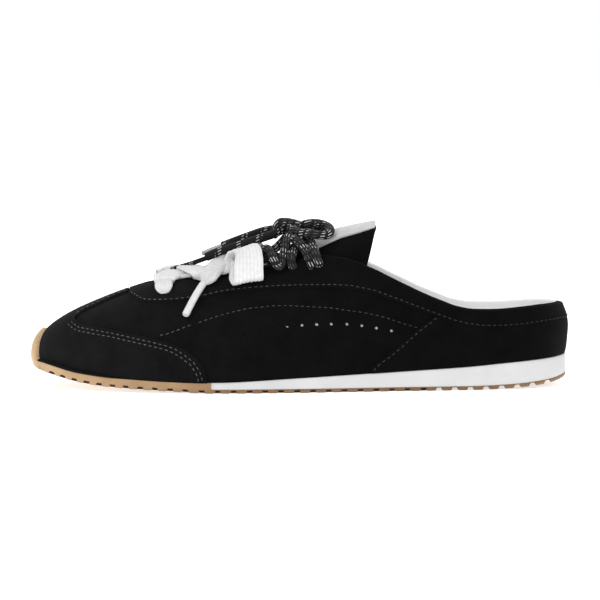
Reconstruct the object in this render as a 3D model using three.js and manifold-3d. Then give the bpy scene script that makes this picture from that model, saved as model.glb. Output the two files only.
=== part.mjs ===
// A low sneaker mule, left shoe: suede upper with an open heel, gum outsole, white midsole wedge,
// tongue, insole and two laces. Millimetres, +Z up, toe towards -X, lateral side towards -Y.
// The origin is on the floor, under the middle of the shoe's length and width.
import * as THREE from "three";
import { mergeVertices } from "three/addons/utils/BufferGeometryUtils.js";
import Module from "manifold-3d";

const wasm = await Module();
wasm.setup();

// Driving sizes
const shoeLength = 268; // toe bumper to the bulge of the heel
const ballWidth = 92; // widest lateral point to widest medial point of the sole
const instepHeight = 74.2; // crown of the last where the laces end
const midsoleBackHeight = 16.2; // floor to the top of the midsole behind the heel
const toeSpring = 9; // floor to the tread under the toe tip
const heelBevel = 5.5; // floor to the tread at the very back

// Walls and clearances
const upperWall = 2.2;
const overlayWall = 1.2;
const seamGap = 0.3; // between pieces that touch
const tongueGap = 1.3; // tongue to the inside of the upper
const tongueWall = 3;
const facingWall = 2;
const insoleWall = 3;
const treadWall = 1.9; // gum under the midsole
const grooveDepth = 1.3;
const groovePitch = 7.6;
const grooveWidth = 3.2;
const grooveRoof = 1.6; // width of a groove at its roof
const treadChamfer = 0.8; // how far the tread's lower edge draws in
const bumperWall = 2;
const bumperSpread = 0.3; // half width of the toe bumper, in radians of the outline
const bumperRise = 0.6; // share of the toe's front that the bumper covers
const bumperRoot = 2; // how deep the bumper reaches into the gum band
const soleLedge = 1.2; // how far the sole stands out beyond the upper
const heelBulge = 1.4; // how far the heel of the upper stands out beyond the sole

// Places along the length, as shares from toe to heel
const wedgeFront = 0.338; // where the white midsole begins
const throatFront = 0.213; // front end of the lacing gap

const halfLength = shoeLength / 2;
const xOf = (share) => shoeLength * share - halfLength;
const soleFront = -halfLength;
const soleBack = halfLength - heelBulge;
const upperFront = soleFront + bumperWall + overlayWall + 2 * seamGap;
const upperBack = soleBack - soleLedge;

// Outline of the sole, in shares of the ball width
const soleOutline = [
  { at: 0, lateral: 0, medial: 0 },
  { at: 0.02, lateral: 0.148, medial: 0.165 },
  { at: 0.05, lateral: 0.23, medial: 0.264 },
  { at: 0.1, lateral: 0.318, medial: 0.364 },
  { at: 0.17, lateral: 0.4, medial: 0.44 },
  { at: 0.25, lateral: 0.462, medial: 0.488 },
  { at: 0.31, lateral: 0.49, medial: 0.5 },
  { at: 0.38, lateral: 0.5, medial: 0.467 },
  { at: 0.48, lateral: 0.486, medial: 0.382 },
  { at: 0.58, lateral: 0.452, medial: 0.317 },
  { at: 0.67, lateral: 0.417, medial: 0.296 },
  { at: 0.76, lateral: 0.388, medial: 0.306 },
  { at: 0.85, lateral: 0.36, medial: 0.32 },
  { at: 0.91, lateral: 0.322, medial: 0.3 },
  { at: 0.96, lateral: 0.245, medial: 0.24 },
  { at: 0.99, lateral: 0.126, medial: 0.126 },
  { at: 1, lateral: 0, medial: 0 },
];

// Sole seen from the side: the tread's lift off the floor and the top edge where the upper starts.
// toe is a share of the toe spring, heel of the heel bevel and top of the midsole's height at the back.
const soleProfile = [
  { at: 0, toe: 1.3, heel: 0, top: 0.88 },
  { at: 0.02, toe: 0.98, heel: 0, top: 0.83 },
  { at: 0.044, toe: 0.8, heel: 0, top: 0.76 },
  { at: 0.086, toe: 0.51, heel: 0, top: 0.6 },
  { at: 0.135, toe: 0.31, heel: 0, top: 0.475 },
  { at: 0.185, toe: 0.21, heel: 0, top: 0.41 },
  { at: 0.28, toe: 0.08, heel: 0, top: 0.34 },
  { at: 0.34, toe: 0, heel: 0, top: 0.325 },
  { at: 0.5, toe: 0, heel: 0, top: 0.445 },
  { at: 0.69, toe: 0, heel: 0, top: 0.605 },
  { at: 0.8, toe: 0, heel: 0, top: 0.705 },
  { at: 0.88, toe: 0, heel: 0.1, top: 0.815 },
  { at: 0.95, toe: 0, heel: 0.36, top: 0.9 },
  { at: 0.99, toe: 0, heel: 0.72, top: 0.96 },
  { at: 1, toe: 0, heel: 1, top: 1 },
];

// Cross sections of the last. at is the foot of a section and crown the place of its top, both in
// shares of the length. height is a share of the instep height. swell is how far the side stands
// out and arch how much further it does on the medial side, both in shares of the ball width. lift
// and shoulder shape the side: how high the swell sits and how far out the top stays flat.
const lastSections = [
  { at: 0, crown: 0.052, height: 0.44, swell: 0.003, arch: 0, lift: 0.5, shoulder: 0.72 },
  { at: 0.02, crown: 0.062, height: 0.463, swell: 0.005, arch: 0, lift: 0.5, shoulder: 0.72 },
  { at: 0.05, crown: 0.085, height: 0.507, swell: 0.01, arch: 0, lift: 0.5, shoulder: 0.7 },
  { at: 0.1, crown: 0.123, height: 0.567, swell: 0.015, arch: 0, lift: 0.48, shoulder: 0.66 },
  { at: 0.17, crown: 0.179, height: 0.643, swell: 0.016, arch: 0, lift: 0.45, shoulder: 0.62 },
  { at: 0.25, crown: 0.254, height: 0.718, swell: 0.014, arch: 0, lift: 0.42, shoulder: 0.62 },
  { at: 0.31, crown: 0.313, height: 0.747, swell: 0.014, arch: 0.005, lift: 0.4, shoulder: 0.62 },
  { at: 0.38, crown: 0.381, height: 0.792, swell: 0.016, arch: 0.02, lift: 0.4, shoulder: 0.6 },
  { at: 0.48, crown: 0.478, height: 0.893, swell: 0.018, arch: 0.06, lift: 0.41, shoulder: 0.58 },
  { at: 0.53, crown: 0.527, height: 0.99, swell: 0.019, arch: 0.08, lift: 0.42, shoulder: 0.58 },
  { at: 0.58, crown: 0.575, height: 1.078, swell: 0.02, arch: 0.09, lift: 0.42, shoulder: 0.57 },
  { at: 0.67, crown: 0.66, height: 1.118, swell: 0.022, arch: 0.08, lift: 0.42, shoulder: 0.6 },
  { at: 0.76, crown: 0.75, height: 1.13, swell: 0.024, arch: 0.045, lift: 0.42, shoulder: 0.66 },
  { at: 0.85, crown: 0.83, height: 1.13, swell: 0.03, arch: 0.015, lift: 0.37, shoulder: 0.62 },
  { at: 0.91, crown: 0.87, height: 1.12, swell: 0.036, arch: 0, lift: 0.31, shoulder: 0.56 },
  { at: 0.96, crown: 0.893, height: 1.1, swell: 0.045, arch: 0, lift: 0.27, shoulder: 0.5 },
  { at: 1, crown: 0.905, height: 1.08, swell: 0.05, arch: 0, lift: 0.25, shoulder: 0.5 },
];

// Top edge of the upper. rim is its height as a share of the instep height, and gap half the
// width of the lacing opening as a share of the ball width; below nothing the rim alone counts.
const topline = [
  { at: 0, rim: 1.3, gap: 0 },
  { at: throatFront, rim: 1.2, gap: 0 },
  { at: throatFront + 0.006, rim: 1.2, gap: 0.045 },
  { at: throatFront + 0.02, rim: 1.18, gap: 0.07 },
  { at: 0.3, rim: 1.1, gap: 0.1 },
  { at: 0.43, rim: 0.98, gap: 0.152 },
  { at: 0.5, rim: 0.9, gap: 0.19 },
  { at: 0.55, rim: 0.885, gap: 0.205 },
  { at: 0.584, rim: 0.868, gap: 0.2 },
  { at: 0.621, rim: 0.822, gap: 0.12 },
  { at: 0.688, rim: 0.705, gap: -0.05 },
  { at: 0.735, rim: 0.624, gap: -0.05 },
  { at: 0.763, rim: 0.583, gap: -0.05 },
  { at: 0.787, rim: 0.55, gap: -0.05 },
  { at: 0.819, rim: 0.53, gap: -0.05 },
  { at: 0.853, rim: 0.527, gap: -0.05 },
  { at: 0.912, rim: 0.54, gap: -0.05 },
  { at: 0.95, rim: 0.55, gap: -0.05 },
  { at: 1, rim: 0.556, gap: -0.05 },
];
const cornerRound = 3; // rounding where the lacing gap turns into the collar

// A smooth curve through one column of a table. It runs in the angle of a half turn from toe to
// heel, so that a width that ends at nothing gives a round end.
function column(rows, name) {
  const x = rows.map((row) => Math.acos(1 - 2 * row.at));
  const y = rows.map((row) => row[name]);
  const rise = y.slice(1).map((value, i) => (value - y[i]) / (x[i + 1] - x[i]));
  const slope = y.map((_, i) => {
    if (i === 0) return rise[0];
    if (i === rise.length) return rise[i - 1];
    const product = rise[i - 1] * rise[i];
    return product > 0 ? (2 * product) / (rise[i - 1] + rise[i]) : 0;
  });
  return (share) => {
    const a = Math.acos(1 - 2 * Math.min(1, Math.max(0, share)));
    let i = 0;
    while (i < rise.length - 1 && a > x[i + 1]) i++;
    const h = x[i + 1] - x[i];
    const s = (a - x[i]) / h;
    const turned = (2 * s - 3) * s * s;
    return (
      (turned + 1) * y[i] -
      turned * y[i + 1] +
      ((s - 2) * s + 1) * s * h * slope[i] +
      (s - 1) * s * s * h * slope[i + 1]
    );
  };
}

const halfWidth = { "-1": column(soleOutline, "lateral"), 1: column(soleOutline, "medial") };
const toeLift = column(soleProfile, "toe");
const heelLift = column(soleProfile, "heel");
const topEdge = column(soleProfile, "top");
const section = Object.fromEntries(
  ["crown", "height", "swell", "arch", "lift", "shoulder"].map((name) => [
    name,
    column(lastSections, name),
  ]),
);
const rimShare = column(topline, "rim");
const gapShare = column(topline, "gap");

const shareOfX = (x) => (x + halfLength) / shoeLength;
const treadZ = (share) => toeSpring * toeLift(share) + heelBevel * heelLift(share);
const soleTopZ = (share) => midsoleBackHeight * topEdge(share);
const shareOfTurn = (turn) => (1 - Math.cos(turn)) / 2;

// A point on the sole's outline, drawn in by inset. turn runs from 0 at the toe to pi at the heel.
function outlinePoint(side, turn, inset, front = soleFront, back = soleBack) {
  const share = shareOfTurn(turn);
  const x = front + inset + (back - front - 2 * inset) * share;
  const y = side * (ballWidth * halfWidth[side](share) - inset * Math.sqrt(Math.sin(turn)));
  return new THREE.Vector2(x, side * Math.max(0, side * y));
}

// The surface of the last: t climbs from the sole (0) to the crown (1) on one side of a section.
function lastPoint(side, turn, t) {
  const share = shareOfTurn(turn);
  const foot = outlinePoint(side, turn, soleLedge, upperFront - soleLedge, upperBack + soleLedge);
  const step = 0.002;
  const before = outlinePoint(side, Math.max(0, turn - step), soleLedge);
  const after = outlinePoint(side, Math.min(Math.PI, turn + step), soleLedge);
  const along = after.sub(before).normalize();
  const outward = new THREE.Vector2(-side * along.y, side * along.x);
  const crownX = xOf(section.crown(share));
  const crownZ = instepHeight * section.height(share);
  const footZ = soleTopZ(share) + seamGap;
  const next = Math.min(1, share + step);
  const last = Math.max(0, share - step);
  const slope =
    (instepHeight * (section.height(next) - section.height(last))) /
    (shoeLength * (section.crown(next) - section.crown(last)));
  const arch = side > 0 ? ballWidth * section.arch(share) : 0;
  const swell = ballWidth * section.swell(share) + arch;
  const out = section.shoulder(share);
  const shoulderX = crownX + (foot.x - crownX) * out;
  const shoulderY = (foot.y + side * arch) * out;
  return new THREE.CubicBezierCurve3(
    new THREE.Vector3(foot.x, foot.y, footZ),
    new THREE.Vector3(
      foot.x + outward.x * swell,
      foot.y + outward.y * swell,
      footZ + (crownZ - footZ) * section.lift(share),
    ),
    new THREE.Vector3(shoulderX, shoulderY, crownZ + slope * (shoulderX - crownX)),
    new THREE.Vector3(crownX, 0, crownZ),
  ).getPoint(t);
}

// The share t at which the wall ends: at the crown before the throat, then at the lacing gap or at
// the collar's height, whichever comes first, with a rounded corner between them.
function wallEnd(side, turn) {
  if (section.crown(shareOfTurn(turn)) <= throatFront + 1e-6) return 1;
  const left = (t) => {
    const p = lastPoint(side, turn, t);
    const share = shareOfX(p.x);
    const toGap = Math.abs(p.y) - ballWidth * gapShare(share);
    const toRim = instepHeight * rimShare(share) - p.z;
    const near = Math.max(0, cornerRound - Math.abs(toGap - toRim)) / cornerRound;
    return Math.min(toGap, toRim) - (near * near * cornerRound) / 4;
  };
  let low = 0;
  let high = 1;
  for (let i = 0; i < 30; i++) {
    const middle = (low + high) / 2;
    if (left(middle) > 0) low = middle;
    else high = middle;
  }
  return low;
}

// Stations around the outline, with one exactly at the front of the throat
const stationCount = 34;
const rowCount = 8;
const stations = Array.from({ length: stationCount + 1 }, (_, i) => (Math.PI * i) / stationCount);
const throatStation = stations.findIndex((turn) => section.crown(shareOfTurn(turn)) > throatFront);
stations[throatStation] = turnOfCrown(throatFront);

function turnOfCrown(share) {
  let low = 0;
  let high = Math.PI;
  for (let i = 0; i < 40; i++) {
    const middle = (low + high) / 2;
    if (section.crown(shareOfTurn(middle)) < share) low = middle;
    else high = middle;
  }
  return low;
}

// Rings of points around the upper, from the heel along the medial side to the toe and back
// along the lateral side. ringPoints[k][j] climbs from the sole to the top edge.
const ring = [
  ...stations.map((turn, i) => ({ side: 1, turn, i })).reverse(),
  ...stations.map((turn, i) => ({ side: -1, turn, i })).slice(1, -1),
];
const ringEnds = ring.map(({ side, turn }) => wallEnd(side, turn));
const ringPoints = ring.map(({ side, turn }, k) =>
  Array.from({ length: rowCount + 1 }, (_, j) => lastPoint(side, turn, (ringEnds[k] * j) / rowCount)),
);

// Turns a list of triangles, each three points, into a closed geometry without slivers.
function solidGeometry(triangles) {
  const position = new Float32Array(triangles.flatMap((t) => t.flatMap((p) => [p.x, p.y, p.z])));
  const loose = new THREE.BufferGeometry();
  loose.setAttribute("position", new THREE.BufferAttribute(position, 3));
  const merged = mergeVertices(loose, 1e-3);
  const index = Array.from(merged.index.array);
  const kept = [];
  for (let i = 0; i < index.length; i += 3) {
    const [a, b, c] = index.slice(i, i + 3);
    if (a !== b && b !== c && c !== a) kept.push(a, b, c);
  }
  merged.setIndex(kept);
  return merged;
}

function quad(a, b, c, d) {
  return [
    [a, b, c],
    [a, c, d],
  ];
}

// Normals of a grid of points, taken from the merged mesh so that shared edges agree.
function gridNormals(grid, wrapped) {
  const triangles = [];
  const last = wrapped ? grid.length : grid.length - 1;
  for (let k = 0; k < last; k++) {
    const a = grid[k];
    const b = grid[(k + 1) % grid.length];
    for (let j = 0; j + 1 < a.length; j++) triangles.push(...quad(a[j], b[j], b[j + 1], a[j + 1]));
  }
  const geometry = solidGeometry(triangles);
  geometry.computeVertexNormals();
  const key = (p) => [p.x, p.y, p.z].map((v) => Math.round(v * 500)).join();
  const found = new Map();
  const place = geometry.getAttribute("position");
  const normal = geometry.getAttribute("normal");
  for (let i = 0; i < place.count; i++)
    found.set(
      key(new THREE.Vector3().fromBufferAttribute(place, i)),
      new THREE.Vector3().fromBufferAttribute(normal, i),
    );
  return grid.map((row) => row.map((p) => found.get(key(p)) ?? nearestNormal(p, place, normal)));
}

function nearestNormal(p, place, normal) {
  let best = 0;
  let least = Infinity;
  const q = new THREE.Vector3();
  for (let i = 0; i < place.count; i++) {
    const d = q.fromBufferAttribute(place, i).distanceToSquared(p);
    if (d < least) [least, best] = [d, i];
  }
  return new THREE.Vector3().fromBufferAttribute(normal, best);
}

const ringNormals = gridNormals(ringPoints, true);

// The ring moved off the last by a distance along its normals. The lowest row stays level.
function ringAt(distance) {
  return ringPoints.map((row, k) =>
    row.map((p, j) => {
      const n = ringNormals[k][j].clone();
      if (j === 0) n.setZ(0).normalize();
      return p.clone().addScaledVector(n, distance);
    }),
  );
}

// A closed shell between two copies of the ring, open at the sole and along the topline.
function ringShell(inside, outside) {
  const inner = ringAt(inside);
  const outer = ringAt(outside);
  const triangles = [];
  for (let k = 0; k < ring.length; k++) {
    const m = (k + 1) % ring.length;
    for (let j = 0; j < rowCount; j++) {
      triangles.push(...quad(outer[k][j], outer[m][j], outer[m][j + 1], outer[k][j + 1]));
      triangles.push(...quad(inner[k][j], inner[k][j + 1], inner[m][j + 1], inner[m][j]));
    }
    triangles.push(...quad(inner[k][0], inner[m][0], outer[m][0], outer[k][0]));
    if (Math.min(ring[k].i, ring[m].i) >= throatStation)
      triangles.push(
        ...quad(outer[k][rowCount], outer[m][rowCount], inner[m][rowCount], inner[k][rowCount]),
      );
  }
  return solidGeometry(triangles);
}

// A closed sheet between two open grids of the same size.
function sheet(outer, inner) {
  const triangles = [];
  const rows = outer.length - 1;
  const columns = outer[0].length - 1;
  for (let k = 0; k < rows; k++)
    for (let j = 0; j < columns; j++) {
      triangles.push(...quad(outer[k][j], outer[k + 1][j], outer[k + 1][j + 1], outer[k][j + 1]));
      triangles.push(...quad(inner[k][j], inner[k][j + 1], inner[k + 1][j + 1], inner[k + 1][j]));
    }
  for (let k = 0; k < rows; k++) {
    triangles.push(...quad(inner[k][0], inner[k + 1][0], outer[k + 1][0], outer[k][0]));
    triangles.push(
      ...quad(outer[k][columns], outer[k + 1][columns], inner[k + 1][columns], inner[k][columns]),
    );
  }
  for (let j = 0; j < columns; j++) {
    triangles.push(...quad(outer[0][j], outer[0][j + 1], inner[0][j + 1], inner[0][j]));
    triangles.push(...quad(inner[rows][j], inner[rows][j + 1], outer[rows][j + 1], outer[rows][j]));
  }
  return solidGeometry(triangles);
}

// A slab over the sole's outline: levels from the lowest up, each a height over the share of the
// length and an inset from the outline, at stations given as shares from toe to heel.
function slab(shares, levels, front = soleFront, back = soleBack) {
  const turnAt = (share) => Math.acos(1 - 2 * share);
  const points = shares.map((share) =>
    levels.map(({ z, inset }) =>
      [-1, 1].map((side) => {
        const p = outlinePoint(side, turnAt(share.at ?? share), inset, front, back);
        return new THREE.Vector3(p.x, p.y, z(shareOfX(p.x), share.above));
      }),
    ),
  );
  const triangles = [];
  const top = levels.length - 1;
  for (let i = 0; i + 1 < points.length; i++) {
    const [a, b] = [points[i], points[i + 1]];
    triangles.push(...quad(a[0][0], a[0][1], b[0][1], b[0][0]));
    triangles.push(...quad(a[top][0], b[top][0], b[top][1], a[top][1]));
    for (let l = 0; l < top; l++) {
      triangles.push(...quad(a[l][0], b[l][0], b[l + 1][0], a[l + 1][0]));
      triangles.push(...quad(a[l][1], a[l + 1][1], b[l + 1][1], b[l][1]));
    }
  }
  for (const [row, out] of [
    [points[0], 1],
    [points.at(-1), -1],
  ])
    for (let l = 0; l < top; l++) {
      const face = [row[l][0], row[l + 1][0], row[l + 1][1], row[l][1]];
      triangles.push(...quad(...(out > 0 ? face : face.reverse())));
    }
  return solidGeometry(triangles);
}

function manifoldOf(geometry) {
  return new wasm.Manifold(
    new wasm.Mesh({
      numProp: 3,
      vertProperties: geometry.getAttribute("position").array,
      triVerts: new Uint32Array(geometry.index.array),
    }),
  );
}

function geometryOf(solid) {
  const mesh = solid.getMesh();
  const position = new Float32Array(mesh.numVert * 3);
  for (let i = 0; i < mesh.numVert; i++)
    position.set(mesh.vertProperties.subarray(i * mesh.numProp, i * mesh.numProp + 3), i * 3);
  return new THREE.BufferGeometry()
    .setAttribute("position", new THREE.BufferAttribute(position, 3))
    .setIndex(new THREE.BufferAttribute(mesh.triVerts, 1));
}

// Gum outsole: grooved tread, thick band round the forefoot, and the bumper up the toe
const endShares = [0, 0.0015, 0.006, 0.0135];
const grooveCount = Math.floor((soleBack - soleFront) / groovePitch) - 3;
const grooveStart = soleFront + 2.3 * groovePitch;

// Stations along the sole with the depth of the groove there. Behind the step, where the midsole
// begins, the gum runs under the midsole, so the step has two stations at one place.
function outsoleShares() {
  const soleLength = soleBack - soleFront;
  const marks = [];
  for (let i = 0; i < grooveCount; i++) {
    const middle = grooveStart + groovePitch * i;
    for (const [offset, groove] of [
      [-grooveWidth / 2, 0],
      [-grooveRoof / 2, grooveDepth],
      [grooveRoof / 2, grooveDepth],
      [grooveWidth / 2, 0],
    ])
      marks.push({ at: (middle + offset - soleFront) / soleLength, groove });
  }
  const step = (xOf(wedgeFront) - soleFront) / soleLength;
  const plain = [...endShares, step, ...endShares.map((at) => 1 - at)].map((at) => ({ at, groove: 0 }));
  const shares = [...marks, ...plain].sort((a, b) => a.at - b.at);
  const front = shares.filter((mark) => mark.at <= step);
  const back = shares.filter((mark) => mark.at >= step);
  return [
    ...front.map(({ at, groove }) => ({ at, above: { groove, under: false } })),
    ...back.map(({ at, groove }) => ({ at, above: { groove, under: true } })),
  ];
}

function outsoleSolid() {
  const bottom = { z: (share, above) => treadZ(share) + above.groove, inset: treadChamfer };
  const side = { z: (share) => treadZ(share) + grooveDepth + 0.4, inset: 0 };
  const top = {
    z: (share, above) => (above.under ? treadZ(share) + treadWall : soleTopZ(share)),
    inset: 0,
  };
  return manifoldOf(slab(outsoleShares(), [bottom, side, top])).add(manifoldOf(bumperGeometry()));
}

// The toe bumper hugs the front of the upper and narrows towards its round top.
function bumperGeometry() {
  const columns = 12;
  const rows = 5;
  const grid = Array.from({ length: columns + 1 }, (_, k) => {
    const turn = (0.94 * bumperSpread * (columns - 2 * k)) / columns;
    const side = turn < 0 ? -1 : 1;
    const end = bumperRise * (1 - (turn / bumperSpread) ** 2) ** 1.5;
    return Array.from({ length: rows + 1 }, (_, j) =>
      lastPoint(side, Math.abs(turn), (end * j) / rows),
    );
  });
  const under = overlayWall + 2 * seamGap;
  const normals = gridNormals(grid, false);
  const moved = (distance) =>
    grid.map((row, k) => {
      const points = row.map((p, j) => {
        const n = normals[k][j].clone();
        if (j === 0) n.setZ(0).normalize();
        return p.clone().addScaledVector(n, distance);
      });
      const root = points[0].clone();
      root.z -= bumperRoot;
      return [root, ...points];
    });
  return sheet(moved(under + bumperWall), moved(under));
}

// White midsole wedge behind the step in the outsole
function midsoleGeometry() {
  const first = (xOf(wedgeFront) + seamGap - soleFront) / (soleBack - soleFront);
  const count = 26;
  const turn = Math.acos(1 - 2 * first);
  const shares = Array.from({ length: count + 1 }, (_, i) =>
    shareOfTurn(turn + ((Math.PI - turn) * i) / count),
  );
  const low = (share) => treadZ(share) + treadWall + seamGap;
  return slab(shares, [
    { z: low, inset: 0 },
    { z: (share) => low(share) + 0.75 * (soleTopZ(share) - low(share)), inset: 0 },
    { z: soleTopZ, inset: 0.5 },
  ]);
}

// Insole, lying on the sole inside the foot of the upper
function insoleGeometry() {
  const inset = soleLedge + upperWall + 2 * seamGap;
  const count = 34;
  const shares = Array.from({ length: count + 1 }, (_, i) => shareOfTurn((Math.PI * i) / count));
  return slab(
    shares,
    [
      { z: (share) => soleTopZ(share) + seamGap, inset },
      { z: (share) => soleTopZ(share) + seamGap + insoleWall, inset },
    ],
    upperFront - soleLedge,
    upperBack + soleLedge,
  );
}

// Tongue: it follows the inside of the upper, bridges the lacing gap and flares up at its free end.
const tongueFront = throatFront - 0.03;
const tongueTip = 0.638;
const tongueSideSet = 0.044; // how much earlier the tongue ends at its sides
const tongueTuck = 0.15; // how far it reaches down behind the upper, in t
const tongueFlare = 1; // lift of the free end's crown
const tongueFlatten = 1.05; // how far the free end's shoulders rise towards its crown
const tongueFree = 0.52; // where the flare starts

function tongueGrid(reach, from, to, columns, rows, depth) {
  const points = [];
  const lifts = [];
  for (let k = 0; k <= rows; k++) {
    const row = [];
    const lift = [];
    for (let j = 0; j <= columns; j++) {
      const w = (2 * j) / columns - 1;
      const side = w < 0 ? -1 : 1;
      const end = to - tongueSideSet * (reach * w) ** 2;
      const crown = from + ((end - from) * k) / rows;
      const turn = turnOfCrown(crown);
      const edge = wallEnd(side, turn);
      const t = 1 - Math.abs(w) * reach * (1 - edge + tongueTuck);
      const free = Math.min(1, Math.max(0, (t - edge) / (1 - edge + 1e-6)));
      const rise = Math.max(0, (crown - tongueFree) / (tongueTip - tongueFree));
      const p = lastPoint(side, turn, t);
      const drop = lastPoint(side, turn, 1).z - p.z;
      row.push(p);
      lift.push((tongueFlare + tongueFlatten * drop) * rise * rise * free * free * (3 - 2 * free));
    }
    points.push(row);
    lifts.push(lift);
  }
  const normals = gridNormals(points, false);
  return points.map((row, k) =>
    row.map((p, j) => {
      const moved = p.clone().addScaledVector(normals[k][j], -depth);
      moved.z += lifts[k][j];
      return moved;
    }),
  );
}

function tongueGeometry() {
  const depth = upperWall + tongueGap;
  const size = [1, tongueFront, tongueTip, 10, 12];
  return sheet(tongueGrid(...size, depth), tongueGrid(...size, depth + tongueWall));
}

function facingGeometry() {
  const depth = upperWall + tongueGap - seamGap;
  const size = [0.34, 0.525, tongueTip - 0.002, 6, 8];
  return sheet(tongueGrid(...size, depth - facingWall), tongueGrid(...size, depth));
}

// Overlays: a second shell over the upper, cut into the toe guard, the eyestay with its collar band,
// and the heel counter. The cutting lines are seen from the side; at runs from toe to heel as a
// share of the length, and up is a share of the instep height.
const guardLine = [
  { at: 0.083, up: 0.475 },
  { at: 0.087, up: 0.45 },
  { at: 0.098, up: 0.43 },
  { at: 0.128, up: 0.417 },
  { at: 0.157, up: 0.405 },
  { at: 0.19, up: 0.383 },
  { at: 0.226, up: 0.359 },
  { at: 0.258, up: 0.334 },
  { at: 0.276, up: 0.312 },
  { at: 0.292, up: 0.28 },
  { at: 0.312, up: 0.226 },
  { at: 0.325, up: 0.16 },
  { at: 0.332, up: 0.07 },
];
const stripLine = [
  { at: 0.083, half: 0.155 },
  { at: 0.088, half: 0.125 },
  { at: 0.104, half: 0.107 },
  { at: 0.132, half: 0.098 },
  { at: 0.16, half: 0.084 },
  { at: 0.185, half: 0.074 },
];
const bandLine = [
  { at: 0.183, up: 0.623 },
  { at: 0.194, up: 0.61 },
  { at: 0.203, up: 0.592 },
  { at: 0.213, up: 0.581 },
  { at: 0.236, up: 0.58 },
  { at: 0.262, up: 0.584 },
  { at: 0.29, up: 0.593 },
  { at: 0.323, up: 0.609 },
  { at: 0.35, up: 0.632 },
  { at: 0.377, up: 0.647 },
  { at: 0.417, up: 0.662 },
  { at: 0.46, up: 0.673 },
  { at: 0.511, up: 0.681 },
  { at: 0.56, up: 0.684 },
  { at: 0.595, up: 0.677 },
  { at: 0.633, up: 0.649 },
  { at: 0.677, up: 0.592 },
  { at: 0.717, up: 0.537 },
  { at: 0.756, up: 0.484 },
  { at: 0.782, up: 0.45 },
  { at: 0.803, up: 0.43 },
  { at: 0.83, up: 0.415 },
  { at: 0.87, up: 0.411 },
  { at: 0.91, up: 0.419 },
  { at: 0.95, up: 0.434 },
  { at: 1, up: 0.447 },
];
const counterLine = [
  { at: 0.752, up: 0.51 },
  { at: 0.735, up: 0.459 },
  { at: 0.716, up: 0.411 },
  { at: 0.7, up: 0.361 },
  { at: 0.679, up: 0.295 },
  { at: 0.66, up: 0.241 },
  { at: 0.643, up: 0.2 },
  { at: 0.63, up: 0.155 },
  { at: 0.618, up: 0.07 },
];

// A prism along Y (or along Z, if upright) with a straight-sided outline in millimetres
function prism(points, upright) {
  const shape = new THREE.Shape(points.map(([a, b]) => new THREE.Vector2(a, b)));
  const depth = 4 * ballWidth;
  const geometry = new THREE.ExtrudeGeometry(shape, { depth, bevelEnabled: false });
  geometry.translate(0, 0, -depth / 2);
  if (!upright) geometry.rotateX(Math.PI / 2);
  geometry.deleteAttribute("normal");
  geometry.deleteAttribute("uv");
  return manifoldOf(mergeVertices(geometry, 1e-4));
}

function overlaySolids() {
  const shell = manifoldOf(ringShell(seamGap, seamGap + overlayWall));
  const far = shoeLength;
  const flat = (row) => [xOf(row.at), instepHeight * row.up];
  const lowered = ([x, z]) => [x, z - seamGap];
  const eyestayFront = xOf(bandLine[0].at);
  const guardSide = prism([
    [-far, far],
    [-far, -far],
    [xOf(guardLine.at(-1).at), -far],
    ...guardLine.map(flat).reverse(),
    [xOf(guardLine[0].at), far],
  ]);
  const stripEnd = eyestayFront - seamGap;
  const strip = stripLine.map((row) => [Math.min(xOf(row.at), stripEnd), ballWidth * row.half]);
  const stripPlan = prism([...strip.map(([x, y]) => [x, -y]), ...strip.reverse()], true);
  const above = prism([
    ...bandLine.map(flat),
    [far, instepHeight * bandLine.at(-1).up],
    [far, far],
    [eyestayFront, far],
  ]);
  const below = prism([
    ...bandLine.filter((row) => row.at > counterLine[0].at).map(flat).map(lowered),
    [far, flat(bandLine.at(-1))[1] - seamGap],
    [far, -far],
    [xOf(counterLine.at(-1).at), -far],
    ...counterLine.map(flat).reverse(),
  ]);
  return {
    toe_guard: shell.intersect(guardSide.add(stripPlan)),
    eyestay: shell.intersect(above),
    heel_counter: shell.intersect(below).subtract(above),
  };
}

// Laces. Their courses run over the last: at is a share of the length, side a share of the ball
// width towards the medial side, and lift a height over the last in millimetres.
const overlayTop = 2 * seamGap + overlayWall;
const flatLace = { wide: 8.5, loop: 15.5, thick: 1.2, tip: 3.4 };
const roundLace = 4.4;
const eyelets = {
  front: { at: 0.246, side: 0.18 },
  second: { at: 0.322, side: 0.155 },
  fourth: { at: 0.494, side: 0.215 },
  top: { at: 0.533, side: 0.255 },
};
const knotPlaces = {
  white: { at: 0.366, lift: 4.9, long: 11, wide: 15, high: 5.6 },
  rope: { at: 0.502, lift: 8.3, long: 11, wide: 13, high: 9.4 },
};

// A point over the last above the place (x, y), at a distance along the surface's normal
function overLast({ at, side, lift }) {
  const hand = side < 0 ? -1 : 1;
  const turn = turnOfCrown(at);
  const find = (u) => {
    let low = 0.3;
    let high = 1;
    for (let i = 0; i < 30; i++) {
      const middle = (low + high) / 2;
      if (Math.abs(lastPoint(hand, u, middle).y) > Math.abs(side) * ballWidth) low = middle;
      else high = middle;
    }
    return low;
  };
  const t = find(turn);
  const step = 0.01;
  const back = lastPoint(hand, turn - step, t);
  const on = lastPoint(hand, turn + step, t);
  const along = on.sub(back).normalize();
  const low = Math.max(0, t - step);
  const across = lastPoint(hand, turn, Math.min(1, low + 2 * step)).sub(lastPoint(hand, turn, low));
  const normal = along.cross(across.normalize()).multiplyScalar(-hand).normalize();
  if (Math.abs(side) < 0.02) normal.setY(0).normalize();
  return lastPoint(hand, turn, t).addScaledVector(normal, lift);
}

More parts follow.
